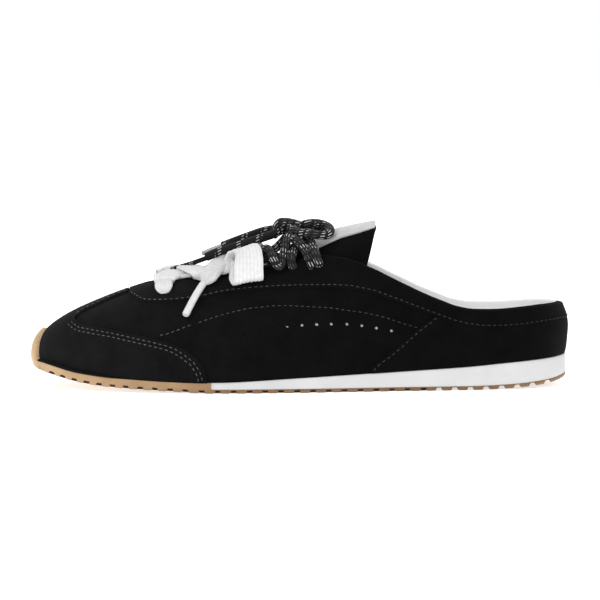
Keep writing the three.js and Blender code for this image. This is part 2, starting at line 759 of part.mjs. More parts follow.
// A flat strap along a course. run gives each row's width and thickness from its place (0 to 1).
function strap(course, acrossHint, run, rows) {
  const curve = new THREE.CatmullRomCurve3(course.map(overLast), false, "centripetal");
  const grids = { outer: [], inner: [] };
  for (let k = 0; k <= rows; k++) {
    const place = curve.getPointAt(k / rows);
    const along = curve.getTangentAt(k / rows);
    const across = acrossHint.clone().addScaledVector(along, -acrossHint.dot(along)).normalize();
    const up = along.clone().cross(across);
    const { wide, thick } = run(k / rows);
    const row = (height) =>
      [-1, 0, 1].map((w) =>
        place
          .clone()
          .addScaledVector(across, (w * wide) / 2)
          .addScaledVector(up, (height * thick) / 2),
      );
    grids.outer.push(row(1));
    grids.inner.push(row(-1));
  }
  return sheet(grids.outer, grids.inner);
}

// A round cord along a course
function cord(course, thickness, rows) {
  const curve = new THREE.CatmullRomCurve3(course.map(overLast), false, "centripetal");
  const ringShape = new THREE.Shape(
    Array.from({ length: 8 }, (_, i) => {
      const a = ((i + 0.5) * Math.PI) / 4;
      return new THREE.Vector2((thickness / 2) * Math.cos(a), (thickness / 2) * Math.sin(a));
    }),
  );
  const geometry = new THREE.ExtrudeGeometry(ringShape, {
    steps: rows,
    extrudePath: curve,
    bevelEnabled: false,
  });
  geometry.deleteAttribute("normal");
  geometry.deleteAttribute("uv");
  return mergeVertices(geometry, 1e-4);
}

function knotGeometry({ at, lift, long, wide, high }) {
  const centre = overLast({ at, side: 0, lift });
  const geometry = new THREE.SphereGeometry(0.5, 10, 7);
  geometry.scale(long, wide, high);
  geometry.translate(centre.x, centre.y, centre.z);
  geometry.deleteAttribute("normal");
  geometry.deleteAttribute("uv");
  return mergeVertices(geometry, 1e-3);
}

const mirrored = (course) => course.map((row) => ({ ...row, side: -row.side }));
const along = new THREE.Vector3(1, 0, 0);
const joined = (list) => geometryOf(list.map(manifoldOf).reduce((all, one) => all.add(one)));
const even = (wide, thick) => () => ({ wide, thick });

// Courses between eyelets. They run level over the eyestay and may sink towards the tongue between.
const spread = [-1, -0.82, -0.35, 0.35, 0.82, 1];

function crossing(from, to, lift, middle = lift) {
  return spread.map((w) => ({
    at: from.at + ((to.at - from.at) * (w + 1)) / 2,
    side: w * (w < 0 ? from.side : to.side),
    lift: Math.abs(w) > 0.5 ? lift : middle,
  }));
}

function bar(eyelet, lift, middle = lift) {
  return crossing(eyelet, eyelet, lift, middle);
}

const flatLift = overlayTop + flatLace.thick / 2 + 0.4;
const roundLift = overlayTop + roundLace / 2 + 0.5;
const sunkLift = roundLace / 2 - 0.4;
const flatRun = even(flatLace.wide, flatLace.thick);

function whiteBars() {
  const { front, second } = eyelets;
  return joined([
    strap(bar(front, flatLift), along, flatRun, 8),
    strap(crossing(front, second, flatLift + 0.5), along, flatRun, 6),
    strap(mirrored(crossing(front, second, flatLift + 1)), along.clone().negate(), flatRun, 6),
  ]);
}

const whiteLoop = [
  { at: 0.374, side: -0.085, lift: 6.8 },
  { at: 0.389, side: -0.108, lift: 10.2 },
  { at: 0.402, side: -0.138, lift: 13 },
  { at: 0.408, side: -0.173, lift: 13.4 },
  { at: 0.407, side: -0.213, lift: 11.7 },
  { at: 0.404, side: -0.247, lift: 9.2 },
  { at: 0.402, side: -0.268, lift: 6.6 },
  { at: 0.398, side: -0.258, lift: 4.2 },
  { at: 0.393, side: -0.225, lift: 3.9 },
  { at: 0.393, side: -0.187, lift: 4.5 },
  { at: 0.393, side: -0.14, lift: 5.5 },
];
const whiteEnd = [
  { at: 0.358, side: -0.1, lift: 6 },
  { at: 0.346, side: -0.15, lift: 5.6 },
  { at: 0.333, side: -0.2, lift: 5 },
  { at: 0.318, side: -0.25, lift: 3.8 },
  { at: 0.304, side: -0.305, lift: 3.2 },
  { at: 0.29, side: -0.36, lift: 3.2 },
];
function endRun(place) {
  const taper = Math.min(1, place / 0.45);
  return {
    wide: flatLace.wide + (flatLace.tip - flatLace.wide) * taper,
    thick: flatLace.thick + (0.7 * flatLace.tip - flatLace.thick) * taper,
  };
}

function ropeBars() {
  const { fourth, top } = eyelets;
  return joined([
    cord(bar(fourth, roundLift, sunkLift), roundLace, 6),
    cord(crossing(fourth, top, roundLift, sunkLift), roundLace, 6),
    cord(mirrored(crossing(fourth, top, roundLift, sunkLift)), roundLace, 6),
  ]);
}

const ropeLoops = {
  near: [
    { at: 0.492, side: -0.09, lift: 8.6 },
    { at: 0.482, side: -0.135, lift: 7.4 },
    { at: 0.473, side: -0.18, lift: 5.8 },
    { at: 0.465, side: -0.228, lift: 4.8 },
    { at: 0.459, side: -0.226, lift: 7.2 },
    { at: 0.455, side: -0.19, lift: 9.4 },
    { at: 0.448, side: -0.15, lift: 10.2 },
    { at: 0.438, side: -0.115, lift: 8 },
    { at: 0.437, side: -0.08, lift: 5.4 },
    { at: 0.446, side: -0.05, lift: 4.4 },
    { at: 0.458, side: -0.042, lift: 4.4 },
  ],
  rear: [
    { at: 0.527, side: -0.04, lift: 8.6 },
    { at: 0.543, side: -0.03, lift: 6 },
    { at: 0.554, side: -0.06, lift: 3.3 },
    { at: 0.559, side: -0.11, lift: 2.4 },
    { at: 0.554, side: -0.145, lift: 3 },
    { at: 0.542, side: -0.148, lift: 5.2 },
    { at: 0.528, side: -0.132, lift: 7.5 },
    { at: 0.516, side: -0.108, lift: 8.2 },
  ],
};
const ropeEnds = {
  near: [
    { at: 0.468, side: -0.032, lift: 11.6 },
    { at: 0.43, side: -0.04, lift: 11.6 },
    { at: 0.385, side: -0.042, lift: 10.9 },
    { at: 0.35, side: -0.04, lift: 9.8 },
    { at: 0.33, side: -0.038, lift: 8.4 },
  ],
  nearTip: [
    { at: 0.335, side: -0.037, lift: 8.2 },
    { at: 0.302, side: -0.038, lift: 6.9 },
    { at: 0.262, side: -0.04, lift: 5.9 },
  ],
  far: [
    { at: 0.486, side: 0.024, lift: 12.4 },
    { at: 0.453, side: 0.038, lift: 14.2 },
    { at: 0.416, side: 0.052, lift: 14.1 },
    { at: 0.383, side: 0.062, lift: 13.2 },
    { at: 0.362, side: 0.064, lift: 12.4 },
  ],
  farTip: [
    { at: 0.368, side: 0.063, lift: 12.7 },
    { at: 0.344, side: 0.066, lift: 11.7 },
    { at: 0.322, side: 0.068, lift: 10.4 },
  ],
};
const tipThickness = 2.6;

function ropeEnd(course, tip) {
  return joined([cord(course, roundLace, 8), cord(tip, tipThickness, 3)]);
}

// Materials and nodes
const suede = new THREE.MeshStandardMaterial({ color: 0x101012, roughness: 0.95 });
const lining = new THREE.MeshStandardMaterial({ color: 0xe9e9e6, roughness: 0.8 });
const foam = new THREE.MeshStandardMaterial({ color: 0xf0f0ee, roughness: 0.6 });
const gum = new THREE.MeshStandardMaterial({ color: 0xb98752, roughness: 0.55 });

const shoe = new THREE.Group();
function addPiece(name, geometry, material) {
  const mesh = new THREE.Mesh(geometry, material);
  mesh.name = name;
  shoe.add(mesh);
  return mesh;
}

addPiece("outsole", geometryOf(outsoleSolid()), gum);
addPiece("midsole", midsoleGeometry(), foam);
addPiece("insole", insoleGeometry(), lining);
addPiece("upper", ringShell(-upperWall, 0), suede);
addPiece("tongue", tongueGeometry(), suede);
addPiece("tongue_facing", facingGeometry(), foam);

const leather = new THREE.MeshStandardMaterial({ color: 0x121214, roughness: 0.95 });
for (const [name, solid] of Object.entries(overlaySolids())) addPiece(name, geometryOf(solid), leather);

const white = new THREE.MeshStandardMaterial({ color: 0xf4f4f4, roughness: 0.85 });
const rope = new THREE.MeshStandardMaterial({ color: 0x17171a, roughness: 0.9 });
const loopRun = even(flatLace.loop, flatLace.thick);
const backward = along.clone().negate();
addPiece("white_lace_bars", whiteBars(), white);
addPiece("white_lace_knot", knotGeometry(knotPlaces.white), white);
addPiece("white_loop_near", strap(whiteLoop, along, loopRun, 13), white);
addPiece("white_loop_far", strap(mirrored(whiteLoop), along, loopRun, 13), white);
addPiece("white_end_near", strap(whiteEnd, backward, endRun, 9), white);
addPiece("white_end_far", strap(mirrored(whiteEnd), backward, endRun, 9), white);
addPiece("rope_lace_bars", ropeBars(), rope);
addPiece("rope_lace_knot", knotGeometry(knotPlaces.rope), rope);
addPiece("rope_loop_near", cord(ropeLoops.near, roundLace, 14), rope);
addPiece("rope_loop_rear", cord(ropeLoops.rear, roundLace, 12), rope);
addPiece("rope_end_near", ropeEnd(ropeEnds.near, ropeEnds.nearTip), rope);
addPiece("rope_end_far", ropeEnd(ropeEnds.far, ropeEnds.farTip), rope);

export default shoe;
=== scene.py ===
import math

import bmesh
import bpy
import numpy as np
from mathutils import Matrix, Vector


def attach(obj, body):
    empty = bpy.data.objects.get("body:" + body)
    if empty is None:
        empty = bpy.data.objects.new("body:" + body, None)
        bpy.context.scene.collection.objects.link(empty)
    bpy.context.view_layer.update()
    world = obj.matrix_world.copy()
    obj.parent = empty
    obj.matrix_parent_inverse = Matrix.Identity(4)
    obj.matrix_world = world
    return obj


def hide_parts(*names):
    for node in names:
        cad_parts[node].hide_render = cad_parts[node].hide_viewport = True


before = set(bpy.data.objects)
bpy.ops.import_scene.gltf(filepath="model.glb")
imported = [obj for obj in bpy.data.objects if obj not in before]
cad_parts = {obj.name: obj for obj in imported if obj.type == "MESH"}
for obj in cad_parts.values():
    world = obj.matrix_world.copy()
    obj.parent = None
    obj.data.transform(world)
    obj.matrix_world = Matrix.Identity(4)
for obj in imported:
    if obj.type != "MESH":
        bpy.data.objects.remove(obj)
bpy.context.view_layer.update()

mm = 0.001

# camera: a long lens from the lateral side, a little above the floor
shot = {
    "distance": 1.6, "elevation": 4, "aimHeight": 0.04245, "lens": 192, "sensor": 36, "clip": (0.05, 30),
    "roll": 0.0052,
}


def placed(name, data):
    thing = bpy.data.objects.new(name, data)
    bpy.context.scene.collection.objects.link(thing)
    return thing


def placeCamera():
    data = bpy.data.cameras.new("camera")
    data.lens, data.sensor_width = shot["lens"], shot["sensor"]
    data.clip_start, data.clip_end = shot["clip"]
    camera = placed("camera", data)
    rise, roll = math.radians(shot["elevation"]), shot["roll"]
    right, up = Vector((1, 0, 0)), Vector((0, math.sin(rise), math.cos(rise)))
    back = Vector((0, -math.cos(rise), math.sin(rise)))
    turned = Matrix((
        right * math.cos(roll) - up * math.sin(roll),
        up * math.cos(roll) + right * math.sin(roll),
        back,
    )).transposed().to_4x4()
    turned.translation = back * shot["distance"] + Vector((0, 0, shot["aimHeight"]))
    camera.matrix_world = turned
    bpy.context.scene.camera = camera


placeCamera()
print("camera set")

# the last: the shares and sizes of the shoe's source, in millimetres
size = {
    "length": 268, "ball": 92, "instep": 74.2, "midsoleBack": 16.2, "toeSpring": 9, "heelBevel": 5.5,
    "wall": 2.2, "overlay": 1.2, "gap": 0.3, "tongueGap": 1.3, "tongue": 3, "facing": 2, "insole": 3,
    "tread": 1.9, "bumper": 2, "ledge": 1.2, "heelBulge": 1.4, "wedgeFront": 0.338, "throat": 0.213,
}
halfLength = size["length"] / 2
soleFront, soleBack = -halfLength, halfLength - size["heelBulge"]
upperFront = soleFront + size["bumper"] + size["overlay"] + 2 * size["gap"]
upperBack = soleBack - size["ledge"]

# share of the length, lateral and medial half width as shares of the ball width
soleOutline = (
    (0, 0, 0), (0.02, 0.148, 0.165), (0.05, 0.23, 0.264), (0.1, 0.318, 0.364), (0.17, 0.4, 0.44),
    (0.25, 0.462, 0.488), (0.31, 0.49, 0.5), (0.38, 0.5, 0.467), (0.48, 0.486, 0.382),
    (0.58, 0.452, 0.317), (0.67, 0.417, 0.296), (0.76, 0.388, 0.306), (0.85, 0.36, 0.32),
    (0.91, 0.322, 0.3), (0.96, 0.245, 0.24), (0.99, 0.126, 0.126), (1, 0, 0),
)
# share of the length, toe lift, heel lift, top edge of the sole
soleProfile = (
    (0, 1.3, 0, 0.88), (0.02, 0.98, 0, 0.83), (0.044, 0.8, 0, 0.76), (0.086, 0.51, 0, 0.6),
    (0.135, 0.31, 0, 0.475), (0.185, 0.21, 0, 0.41), (0.28, 0.08, 0, 0.34), (0.34, 0, 0, 0.325),
    (0.5, 0, 0, 0.445), (0.69, 0, 0, 0.605), (0.8, 0, 0, 0.705), (0.88, 0, 0.1, 0.815),
    (0.95, 0, 0.36, 0.9), (0.99, 0, 0.72, 0.96), (1, 0, 1, 1),
)
# foot of a section, its crown, height, swell, arch, lift, shoulder
lastSections = (
    (0, 0.052, 0.44, 0.003, 0, 0.5, 0.72), (0.02, 0.062, 0.463, 0.005, 0, 0.5, 0.72),
    (0.05, 0.085, 0.507, 0.01, 0, 0.5, 0.7), (0.1, 0.123, 0.567, 0.015, 0, 0.48, 0.66),
    (0.17, 0.179, 0.643, 0.016, 0, 0.45, 0.62), (0.25, 0.254, 0.718, 0.014, 0, 0.42, 0.62),
    (0.31, 0.313, 0.747, 0.014, 0.005, 0.4, 0.62), (0.38, 0.381, 0.792, 0.016, 0.02, 0.4, 0.6),
    (0.48, 0.478, 0.893, 0.018, 0.06, 0.41, 0.58), (0.53, 0.527, 0.99, 0.019, 0.08, 0.42, 0.58),
    (0.58, 0.575, 1.078, 0.02, 0.09, 0.42, 0.57), (0.67, 0.66, 1.118, 0.022, 0.08, 0.42, 0.6),
    (0.76, 0.75, 1.13, 0.024, 0.045, 0.42, 0.66), (0.85, 0.83, 1.13, 0.03, 0.015, 0.37, 0.62),
    (0.91, 0.87, 1.12, 0.036, 0, 0.31, 0.56), (0.96, 0.893, 1.1, 0.045, 0, 0.27, 0.5),
    (1, 0.905, 1.08, 0.05, 0, 0.25, 0.5),
)
# share of the length, height of the top edge, half width of the lacing gap
topline = (
    (0, 1.3, 0), (0.213, 1.2, 0), (0.219, 1.2, 0.045), (0.233, 1.18, 0.07), (0.3, 1.1, 0.1),
    (0.43, 0.98, 0.152), (0.5, 0.9, 0.19), (0.55, 0.885, 0.205), (0.584, 0.868, 0.2),
    (0.621, 0.822, 0.12), (0.688, 0.705, -0.05), (0.735, 0.624, -0.05), (0.763, 0.583, -0.05),
    (0.787, 0.55, -0.05), (0.819, 0.53, -0.05), (0.853, 0.527, -0.05), (0.912, 0.54, -0.05),
    (0.95, 0.55, -0.05), (1, 0.556, -0.05),
)
cornerRound = 3


def column(table, index):  # a smooth curve through one column, in the angle of a half turn
    rows = np.array(table, float)
    x, y = np.arccos(1 - 2 * rows[:, 0]), rows[:, index]
    rise = np.diff(y) / np.diff(x)
    product, total = rise[:-1] * rise[1:], rise[:-1] + rise[1:]
    inner = np.where(product > 0, 2 * product / np.where(product > 0, total, 1), 0)
    slope = np.concatenate([rise[:1], inner, rise[-1:]])

    def valueAt(share):
        a = np.arccos(1 - 2 * np.clip(share, 0, 1))
        i = np.clip(np.searchsorted(x, a, side="left") - 1, 0, len(rise) - 1)
        h = x[i + 1] - x[i]
        s = (a - x[i]) / h
        turned = (2 * s - 3) * s * s
        return ((turned + 1) * y[i] - turned * y[i + 1]
                + ((s - 2) * s + 1) * s * h * slope[i] + (s - 1) * s * s * h * slope[i + 1])

    return valueAt


lateralHalf, medialHalf = column(soleOutline, 1), column(soleOutline, 2)
toeLift, heelLift, topEdge = (column(soleProfile, k) for k in (1, 2, 3))
crownOf, heightOf, swellOf, archOf, liftOf, shoulderOf = (column(lastSections, k) for k in range(1, 7))
rimShare, gapShare = column(topline, 1), column(topline, 2)


def xOf(share):
    return size["length"] * share - halfLength


def shareOf(x):
    return (x + halfLength) / size["length"]


def treadZ(x):
    share = shareOf(x)
    return size["toeSpring"] * toeLift(share) + size["heelBevel"] * heelLift(share)


def soleTopZ(share):
    return size["midsoleBack"] * topEdge(share)


def partsOf(w):  # hand, turn and share of the length of an angle: lateral heel -pi, toe 0, medial heel pi
    w = (np.asarray(w, float) + np.pi) % (2 * np.pi) - np.pi
    turn = np.abs(w)
    return np.where(w < 0, -1.0, 1.0), turn, (1 - np.cos(turn)) / 2


def outline(w, inset, front=soleFront, back=soleBack):
    side, turn, share = partsOf(w)
    x = front + inset + (back - front - 2 * inset) * share
    half = size["ball"] * np.where(side < 0, lateralHalf(share), medialHalf(share))
    return x, side * np.maximum(0, half - inset * np.sqrt(np.clip(np.sin(turn), 0, 1)))


def lastAt(w, t):  # a point of the last, t from the sole (0) to the crown (1)
    w, t = np.broadcast_arrays(np.asarray(w, float), np.asarray(t, float))
    side, turn, share = partsOf(w)
    footX, footY = outline(w, size["ledge"], upperFront - size["ledge"], upperBack + size["ledge"])
    step = 0.002
    ax, ay = outline(side * np.maximum(0, turn - step), size["ledge"])
    bx, by = outline(side * np.minimum(np.pi - 1e-9, turn + step), size["ledge"])
    ay, by = side * np.abs(ay), side * np.abs(by)
    long = np.hypot(bx - ax, by - ay)
    outX, outY = -side * (by - ay) / long, side * (bx - ax) / long
    crownX, crownZ = xOf(crownOf(share)), size["instep"] * heightOf(share)
    footZ = soleTopZ(share) + size["gap"]
    fore, aft = np.maximum(0, share - step), np.minimum(1, share + step)
    slope = size["instep"] * (heightOf(aft) - heightOf(fore)) / size["length"] / (crownOf(aft) - crownOf(fore))
    arch = np.where(side > 0, size["ball"] * archOf(share), 0)
    swell = size["ball"] * swellOf(share) + arch
    out = shoulderOf(share)
    shoulderX = crownX + (footX - crownX) * out
    shoulderY = (footY + side * arch) * out
    poles = (
        (footX, footY, footZ),
        (footX + outX * swell, footY + outY * swell, footZ + (crownZ - footZ) * liftOf(share)),
        (shoulderX, shoulderY, crownZ + slope * (shoulderX - crownX)),
        (crownX, 0 * crownX, crownZ),
    )
    weights = ((1 - t) ** 3, 3 * t * (1 - t) ** 2, 3 * t * t * (1 - t), t ** 3)
    return np.stack([sum(k * pole[axis] for k, pole in zip(weights, poles)) for axis in range(3)], -1)


groundPlan = np.array([1, 1, 0])  # makes a direction level


def unit(v):
    return v / np.maximum(np.linalg.norm(v, axis=-1, keepdims=True), 1e-12)


def normalAt(w, t):
    w, t = np.broadcast_arrays(np.asarray(w, float), np.asarray(t, float))
    wide = lastAt(w + 0.006, t) - lastAt(w - 0.006, t)
    tall = lastAt(w, np.minimum(1, t + 0.006)) - lastAt(w, t - 0.006)
    return unit(np.cross(tall, wide))


# soft folds of the upper seen from the side: two ends (x, z), width and depth, below nothing a trough
creases = (
    (-64, 20, -51, 42, 2.8, -0.3), (-59.5, 20, -46.5, 42, 2.4, 0.18), (-53, 18, -43, 37, 2.4, -0.24),
    (-106, 20, -92, 31, 3.6, -0.2), (56, 24, 82, 37, 4.2, -0.32), (26, 50, 46, 41, 3.4, -0.24),
    (-24, 14, 4, 20, 4.0, -0.26), (96, 20, 112, 30, 3.6, -0.22), (-88, 16, -74, 24, 3.2, -0.2),
)

heelSwell = {"out": 1.3, "long": 7, "at": 32, "high": 7}  # the padded back of the heel


def bell(value):
    return np.exp(-value ** 2)


def creaseAt(points):
    x, z = points[..., 0], points[..., 2]
    lift = heelSwell["out"] * bell((x - upperBack) / heelSwell["long"])
    lift = lift * bell((z - heelSwell["at"]) / heelSwell["high"])
    for ax, az, bx, bz, wide, depth in creases:
        long, tall = bx - ax, bz - az
        near = np.clip(((x - ax) * long + (z - az) * tall) / (long ** 2 + tall ** 2), 0, 1)
        away = np.hypot(x - ax - near * long, z - az - near * tall)
        lift = lift + depth * bell(away / wide) * np.sin(np.pi * (0.15 + 0.7 * near))
    return lift


def onUpper(w, t, lift):  # a point at a height over the last
    return lastAt(w, t) + normalAt(w, t) * np.asarray(lift)[..., None]


def crossing(w, before):  # the t at which a section leaves the region where before(point) holds
    low, high = np.zeros_like(w), np.ones_like(w)
    for _ in range(30):
        middle = (low + high) / 2
        held = before(lastAt(w, middle))
        low, high = np.where(held, middle, low), np.where(held, high, middle)
    return low


turnTable = np.linspace(0, np.pi, 3001)
crownTable = crownOf((1 - np.cos(turnTable)) / 2)


def turnOfCrown(share):
    return np.interp(share, crownTable, turnTable)


def wallEnd(w):  # the t of the top edge: the crown before the throat, then lacing gap or collar
    w = np.asarray(w, float)

    def below(p):
        share = shareOf(p[..., 0])
        toGap = np.abs(p[..., 1]) - size["ball"] * gapShare(share)
        toRim = size["instep"] * rimShare(share) - p[..., 2]
        near = np.maximum(0, cornerRound - np.abs(toGap - toRim)) / cornerRound
        return np.minimum(toGap, toRim) - near * near * cornerRound / 4 > 0

    closed = crownOf(partsOf(w)[2]) <= size["throat"] + 1e-6
    return np.where(closed, 1.0, crossing(w, below))


def solved(w, t, goal, rounds, axes=(0, 1, 2)):  # w and t of the surface's points nearest to a goal
    at = lambda w, t: lastAt(w, t)[..., list(axes)]
    step = 1e-3
    for _ in range(rounds):
        wide = (at(w + step, t) - at(w - step, t)) / (2 * step)
        tall = (at(w, t + step) - at(w, t - step)) / (2 * step)
        rest = goal - at(w, t)
        a, b, c, e, f = ((p * q).sum(-1) for p, q in (
            (wide, wide), (wide, tall), (tall, tall), (wide, rest), (tall, rest)))
        w, t = w + (c * e - b * f) / (a * c - b * b), t + (a * f - b * e) / (a * c - b * b)
    return w, t


def fromSide(side, places):  # w and t of points given by x and z as seen from the side
    places = np.array(places, float)
    w, t = np.meshgrid(side * np.linspace(0.05, 3.1, 240), np.linspace(0, 1, 60), indexing="ij")
    table = lastAt(w, t)[..., (0, 2)].reshape(-1, 2)
    pick = ((table[None] - places[:, None]) ** 2).sum(-1).argmin(1)
    return solved(w.ravel()[pick], t.ravel()[pick], places, 6, (0, 2))


# materials
bench = {}  # the node tree and the shader's inputs of the material being made


def feed(socket, source):  # a number, a colour or another node's output
    if isinstance(source, (int, float)):
        socket.default_value = source
    elif isinstance(source, tuple):
        socket.default_value = (*source, 1)
    else:
        bench["tree"].links.new(source, socket)


def startLook(name, colour, rough, specular, sheen=0.0):
    material = bpy.data.materials.new(name)
    material.use_nodes = True
    shader = material.node_tree.nodes["Principled BSDF"].inputs
    bench.update(tree=material.node_tree, shader=shader)
    feed(shader["Base Color"], colour)
    feed(shader["Roughness"], rough)
    feed(shader["Specular IOR Level"], specular)
    feed(shader["Sheen Weight"], sheen)
    return material


def addNode(kind, sources):
    node = bench["tree"].nodes.new("ShaderNode" + kind)
    for key, source in sources.items():
        feed(node.inputs[key], source)
    return node


def placeOf():
    return addNode("TexCoord", {}).outputs["Object"]


def axisOf(place, axis):
    return addNode("SeparateXYZ", {0: place}).outputs[axis]


def noiseOf(scale, detail=3, rough=0.55):
    sources = {"Vector": placeOf(), "Scale": scale, "Detail": detail, "Roughness": rough}
    return addNode("TexNoise", sources).outputs["Fac"]


def rampOf(factor, stops):  # a colour or a grey at each place
    ramp = addNode("ValToRGB", {"Fac": factor})
    while len(ramp.color_ramp.elements) < len(stops):
        ramp.color_ramp.elements.new(0.5)
    for element, (place, colour) in zip(ramp.color_ramp.elements, stops):
        element.position = place
        element.color = (*(colour if isinstance(colour, tuple) else (colour,) * 3), 1)
    return ramp.outputs["Color"]


def mixOf(first, second, factor=1.0, way="MULTIPLY"):
    mix = bench["tree"].nodes.new("ShaderNodeMix")
    mix.data_type, mix.blend_type = "RGBA", way
    for key, source in ((0, factor), (6, first), (7, second)):
        feed(mix.inputs[key], source)
    return mix.outputs[2]


def mathOf(way, first, second=0.0):
    node = addNode("Math", {0: first, 1: second})
    node.operation = way
    return node.outputs[0]


def times(first, second):
    return mathOf("MULTIPLY", first, second)


def plus(first, second):
    return mathOf("ADD", first, second)


def waveOf(value, turns, way="SINE"):
    return mathOf(way, times(value, 2 * math.pi * turns))


def bumpOf(height, distance, strength=0.5, under=None):
    bump = addNode("Bump", {"Height": height, "Distance": distance, "Strength": strength})
    if under:
        feed(bump.inputs["Normal"], under)
    feed(bench["shader"]["Normal"], bump.outputs["Normal"])
    return bump.outputs["Normal"]


def alongShoe():  # 0 at the toe, 1 at the heel
    sources = {"Value": axisOf(placeOf(), "X"), "From Min": soleFront * mm, "From Max": soleBack * mm}
    return addNode("MapRange", sources).outputs["Result"]


def paint(colour):
    feed(bench["shader"]["Base Color"], colour)


def tinted(colour, share):
    return tuple(c * share for c in colour)


suedeLook = {
    "toe": (0.0082, 0.0082, 0.0086), "heel": (0.0022, 0.0022, 0.0024),
    "nap": 2600, "mottle": 90, "rough": 0.95, "bump": 0.00022,
}


def makeSuede(name, shade=1.0):
    toe, heel, nap = suedeLook["toe"], suedeLook["heel"], suedeLook["nap"]
    material = startLook(name, toe, suedeLook["rough"], 0.045, 0.025)
    tone = rampOf(alongShoe(), (
        (0.0, tinted(toe, shade)), (0.42, tinted(toe, shade * 0.42)), (0.75, tinted(heel, shade))))
    mottle = rampOf(noiseOf(suedeLook["mottle"], 4, 0.6), ((0.3, 0.72), (0.7, 1.3)))
    fibre = rampOf(noiseOf(nap, 2, 0.7), ((0.3, 0.6), (0.75, 1.5)))
    paint(mixOf(mixOf(tone, mottle), fibre))
    coarse = bumpOf(noiseOf(420), 0.0001, 0.6)
    bumpOf(noiseOf(nap, 3, 0.7), suedeLook["bump"], 0.8, coarse)
    return material


def makeGum():
    material = startLook("gumRubber", (0.5, 0.29, 0.14), 0.5, 0.35)
    tone = rampOf(alongShoe(), (
        (0.0, (0.54, 0.37, 0.21)), (0.14, (0.42, 0.265, 0.14)), (0.36, (0.3, 0.18, 0.092)),
        (0.8, (0.25, 0.145, 0.068))))
    mottle = rampOf(noiseOf(140, 4, 0.6), ((0.3, 0.86), (0.7, 1.08)))
    # painted shade: the rubber's colour darkens towards its lower edge, over the lowest 2.8 mm
    low = rampOf(times(axisOf(placeOf(), "Z"), 250), ((0.0, (0.6, 0.56, 0.52)), (0.7, 1)))
    paint(mixOf(mixOf(tone, mottle), low))
    feed(bench["shader"]["Roughness"], rampOf(noiseOf(300, 2), ((0.3, 0.45), (0.7, 0.6))))
    bumpOf(noiseOf(1500, 2), 0.00006)
    return material


# name, colour, roughness, specular; noise of the colour and its two tints; noise and depth of the relief
plainLooks = {
    "lining": ("liningCloth", (0.79, 0.79, 0.78), 0.85, 0.2,
               (60, 3), (0.84, 0.84, 0.835), (0.91, 0.91, 0.905), (1900, 2, 0.8), 0.0001),
    "foam": ("midsoleFoam", (0.66, 0.66, 0.66), 0.6, 0.3,
             (45, 3), (0.555, 0.555, 0.557), (0.625, 0.625, 0.625), (1100, 2, 0.6), 0.00008),
    "facing": ("whiteLeather", (0.8, 0.8, 0.79), 0.5, 0.35,
               (120, 3), (0.49, 0.49, 0.485), (0.59, 0.59, 0.585), None, 0.00012),
    # painted shade: the dark brown of the groove pockets stands for the shade inside them
    "groove": ("gumGrooveShade", (0.045, 0.024, 0.012), 0.8, 0.1,
               (300, 2), (0.03, 0.016, 0.008), (0.065, 0.036, 0.018), (1500, 2), 0.00006),
    "tipWhite": ("tipWhite", (0.72, 0.72, 0.72), 0.4, 0.5,
                 (400, 2), (0.648, 0.648, 0.648), (0.72, 0.72, 0.72), (900, 2), 0.00004),
    "tipGrey": ("tipGrey", (0.42, 0.42, 0.41), 0.4, 0.5,
                (400, 2), (0.378, 0.378, 0.369), (0.42, 0.42, 0.41), (900, 2), 0.00004),
}


def makePlain(name, colour, rough, specular, spread, dark, light, relief, depth):
    material = startLook(name, colour, rough, specular)
    paint(rampOf(noiseOf(*spread), ((0.3, dark), (0.7, light))))
    if relief:
        bumpOf(noiseOf(*relief), depth)
    else:  # the cells of grained leather
        bumpOf(addNode("TexVoronoi", {"Vector": placeOf(), "Scale": 900}).outputs["Distance"], depth)
    return material


def makeThread(name, colour, fade=((0.0, 1.0), (1.0, 1.0))):
    material = startLook(name, colour, 0.7, 0.3)
    tone = rampOf(alongShoe(), [(place, tinted(colour, share)) for place, share in fade])
    paint(mixOf(tone, rampOf(noiseOf(700, 2), ((0.3, 0.6), (0.7, 1.3)))))
    bumpOf(noiseOf(3000, 1), 0.00008)
    return material


def laceCoordinates():
    layer = bench["tree"].nodes.new("ShaderNodeUVMap")
    layer.uv_map = "lay"
    return axisOf(layer.outputs["UV"], "X"), axisOf(layer.outputs["UV"], "Y")


weaveLook = {"pick": 0.62, "ends": 34, "ribs": 4}


def makeWhiteLace():
    material = startLook("whiteLaceWeave", (0.86, 0.86, 0.86), 0.9, 0.2, 0.15)
    around, along = laceCoordinates()
    weave = times(waveOf(along, 1 / weaveLook["pick"]), waveOf(around, weaveLook["ends"]))
    fuzz = bumpOf(noiseOf(1800, 3, 0.8), 0.00018, 0.6)
    bumpOf(weave, 0.00008, 0.8, fuzz)
    tint = rampOf(noiseOf(500), ((0.3, (0.73, 0.73, 0.735)), (0.65, 0.82)))
    across = waveOf(around, 1, "COSINE")  # place across the strap
    # painted shade: the colour darkens in the valleys between the ribs across the strap
    rib = plus(times(waveOf(across, weaveLook["ribs"], "COSINE"), 0.5), 0.5)
    paint(mixOf(tint, rampOf(rib, ((0.0, 0.9), (0.45, 1)))))
    return material


ropeLook = {
    "black": (0.005, 0.005, 0.0055), "white": (0.62, 0.62, 0.61), "strands": 8, "pitch": 11.0,
    "rows": 10, "shift": 0.1, "lean": 0.012, "repeat": 3.4, "share": 0.62, "thin": 0.15,
    "group": 11.5, "drift": 0.06, "grouped": 0.3, "more": 0.12, "faint": 0.13,
}


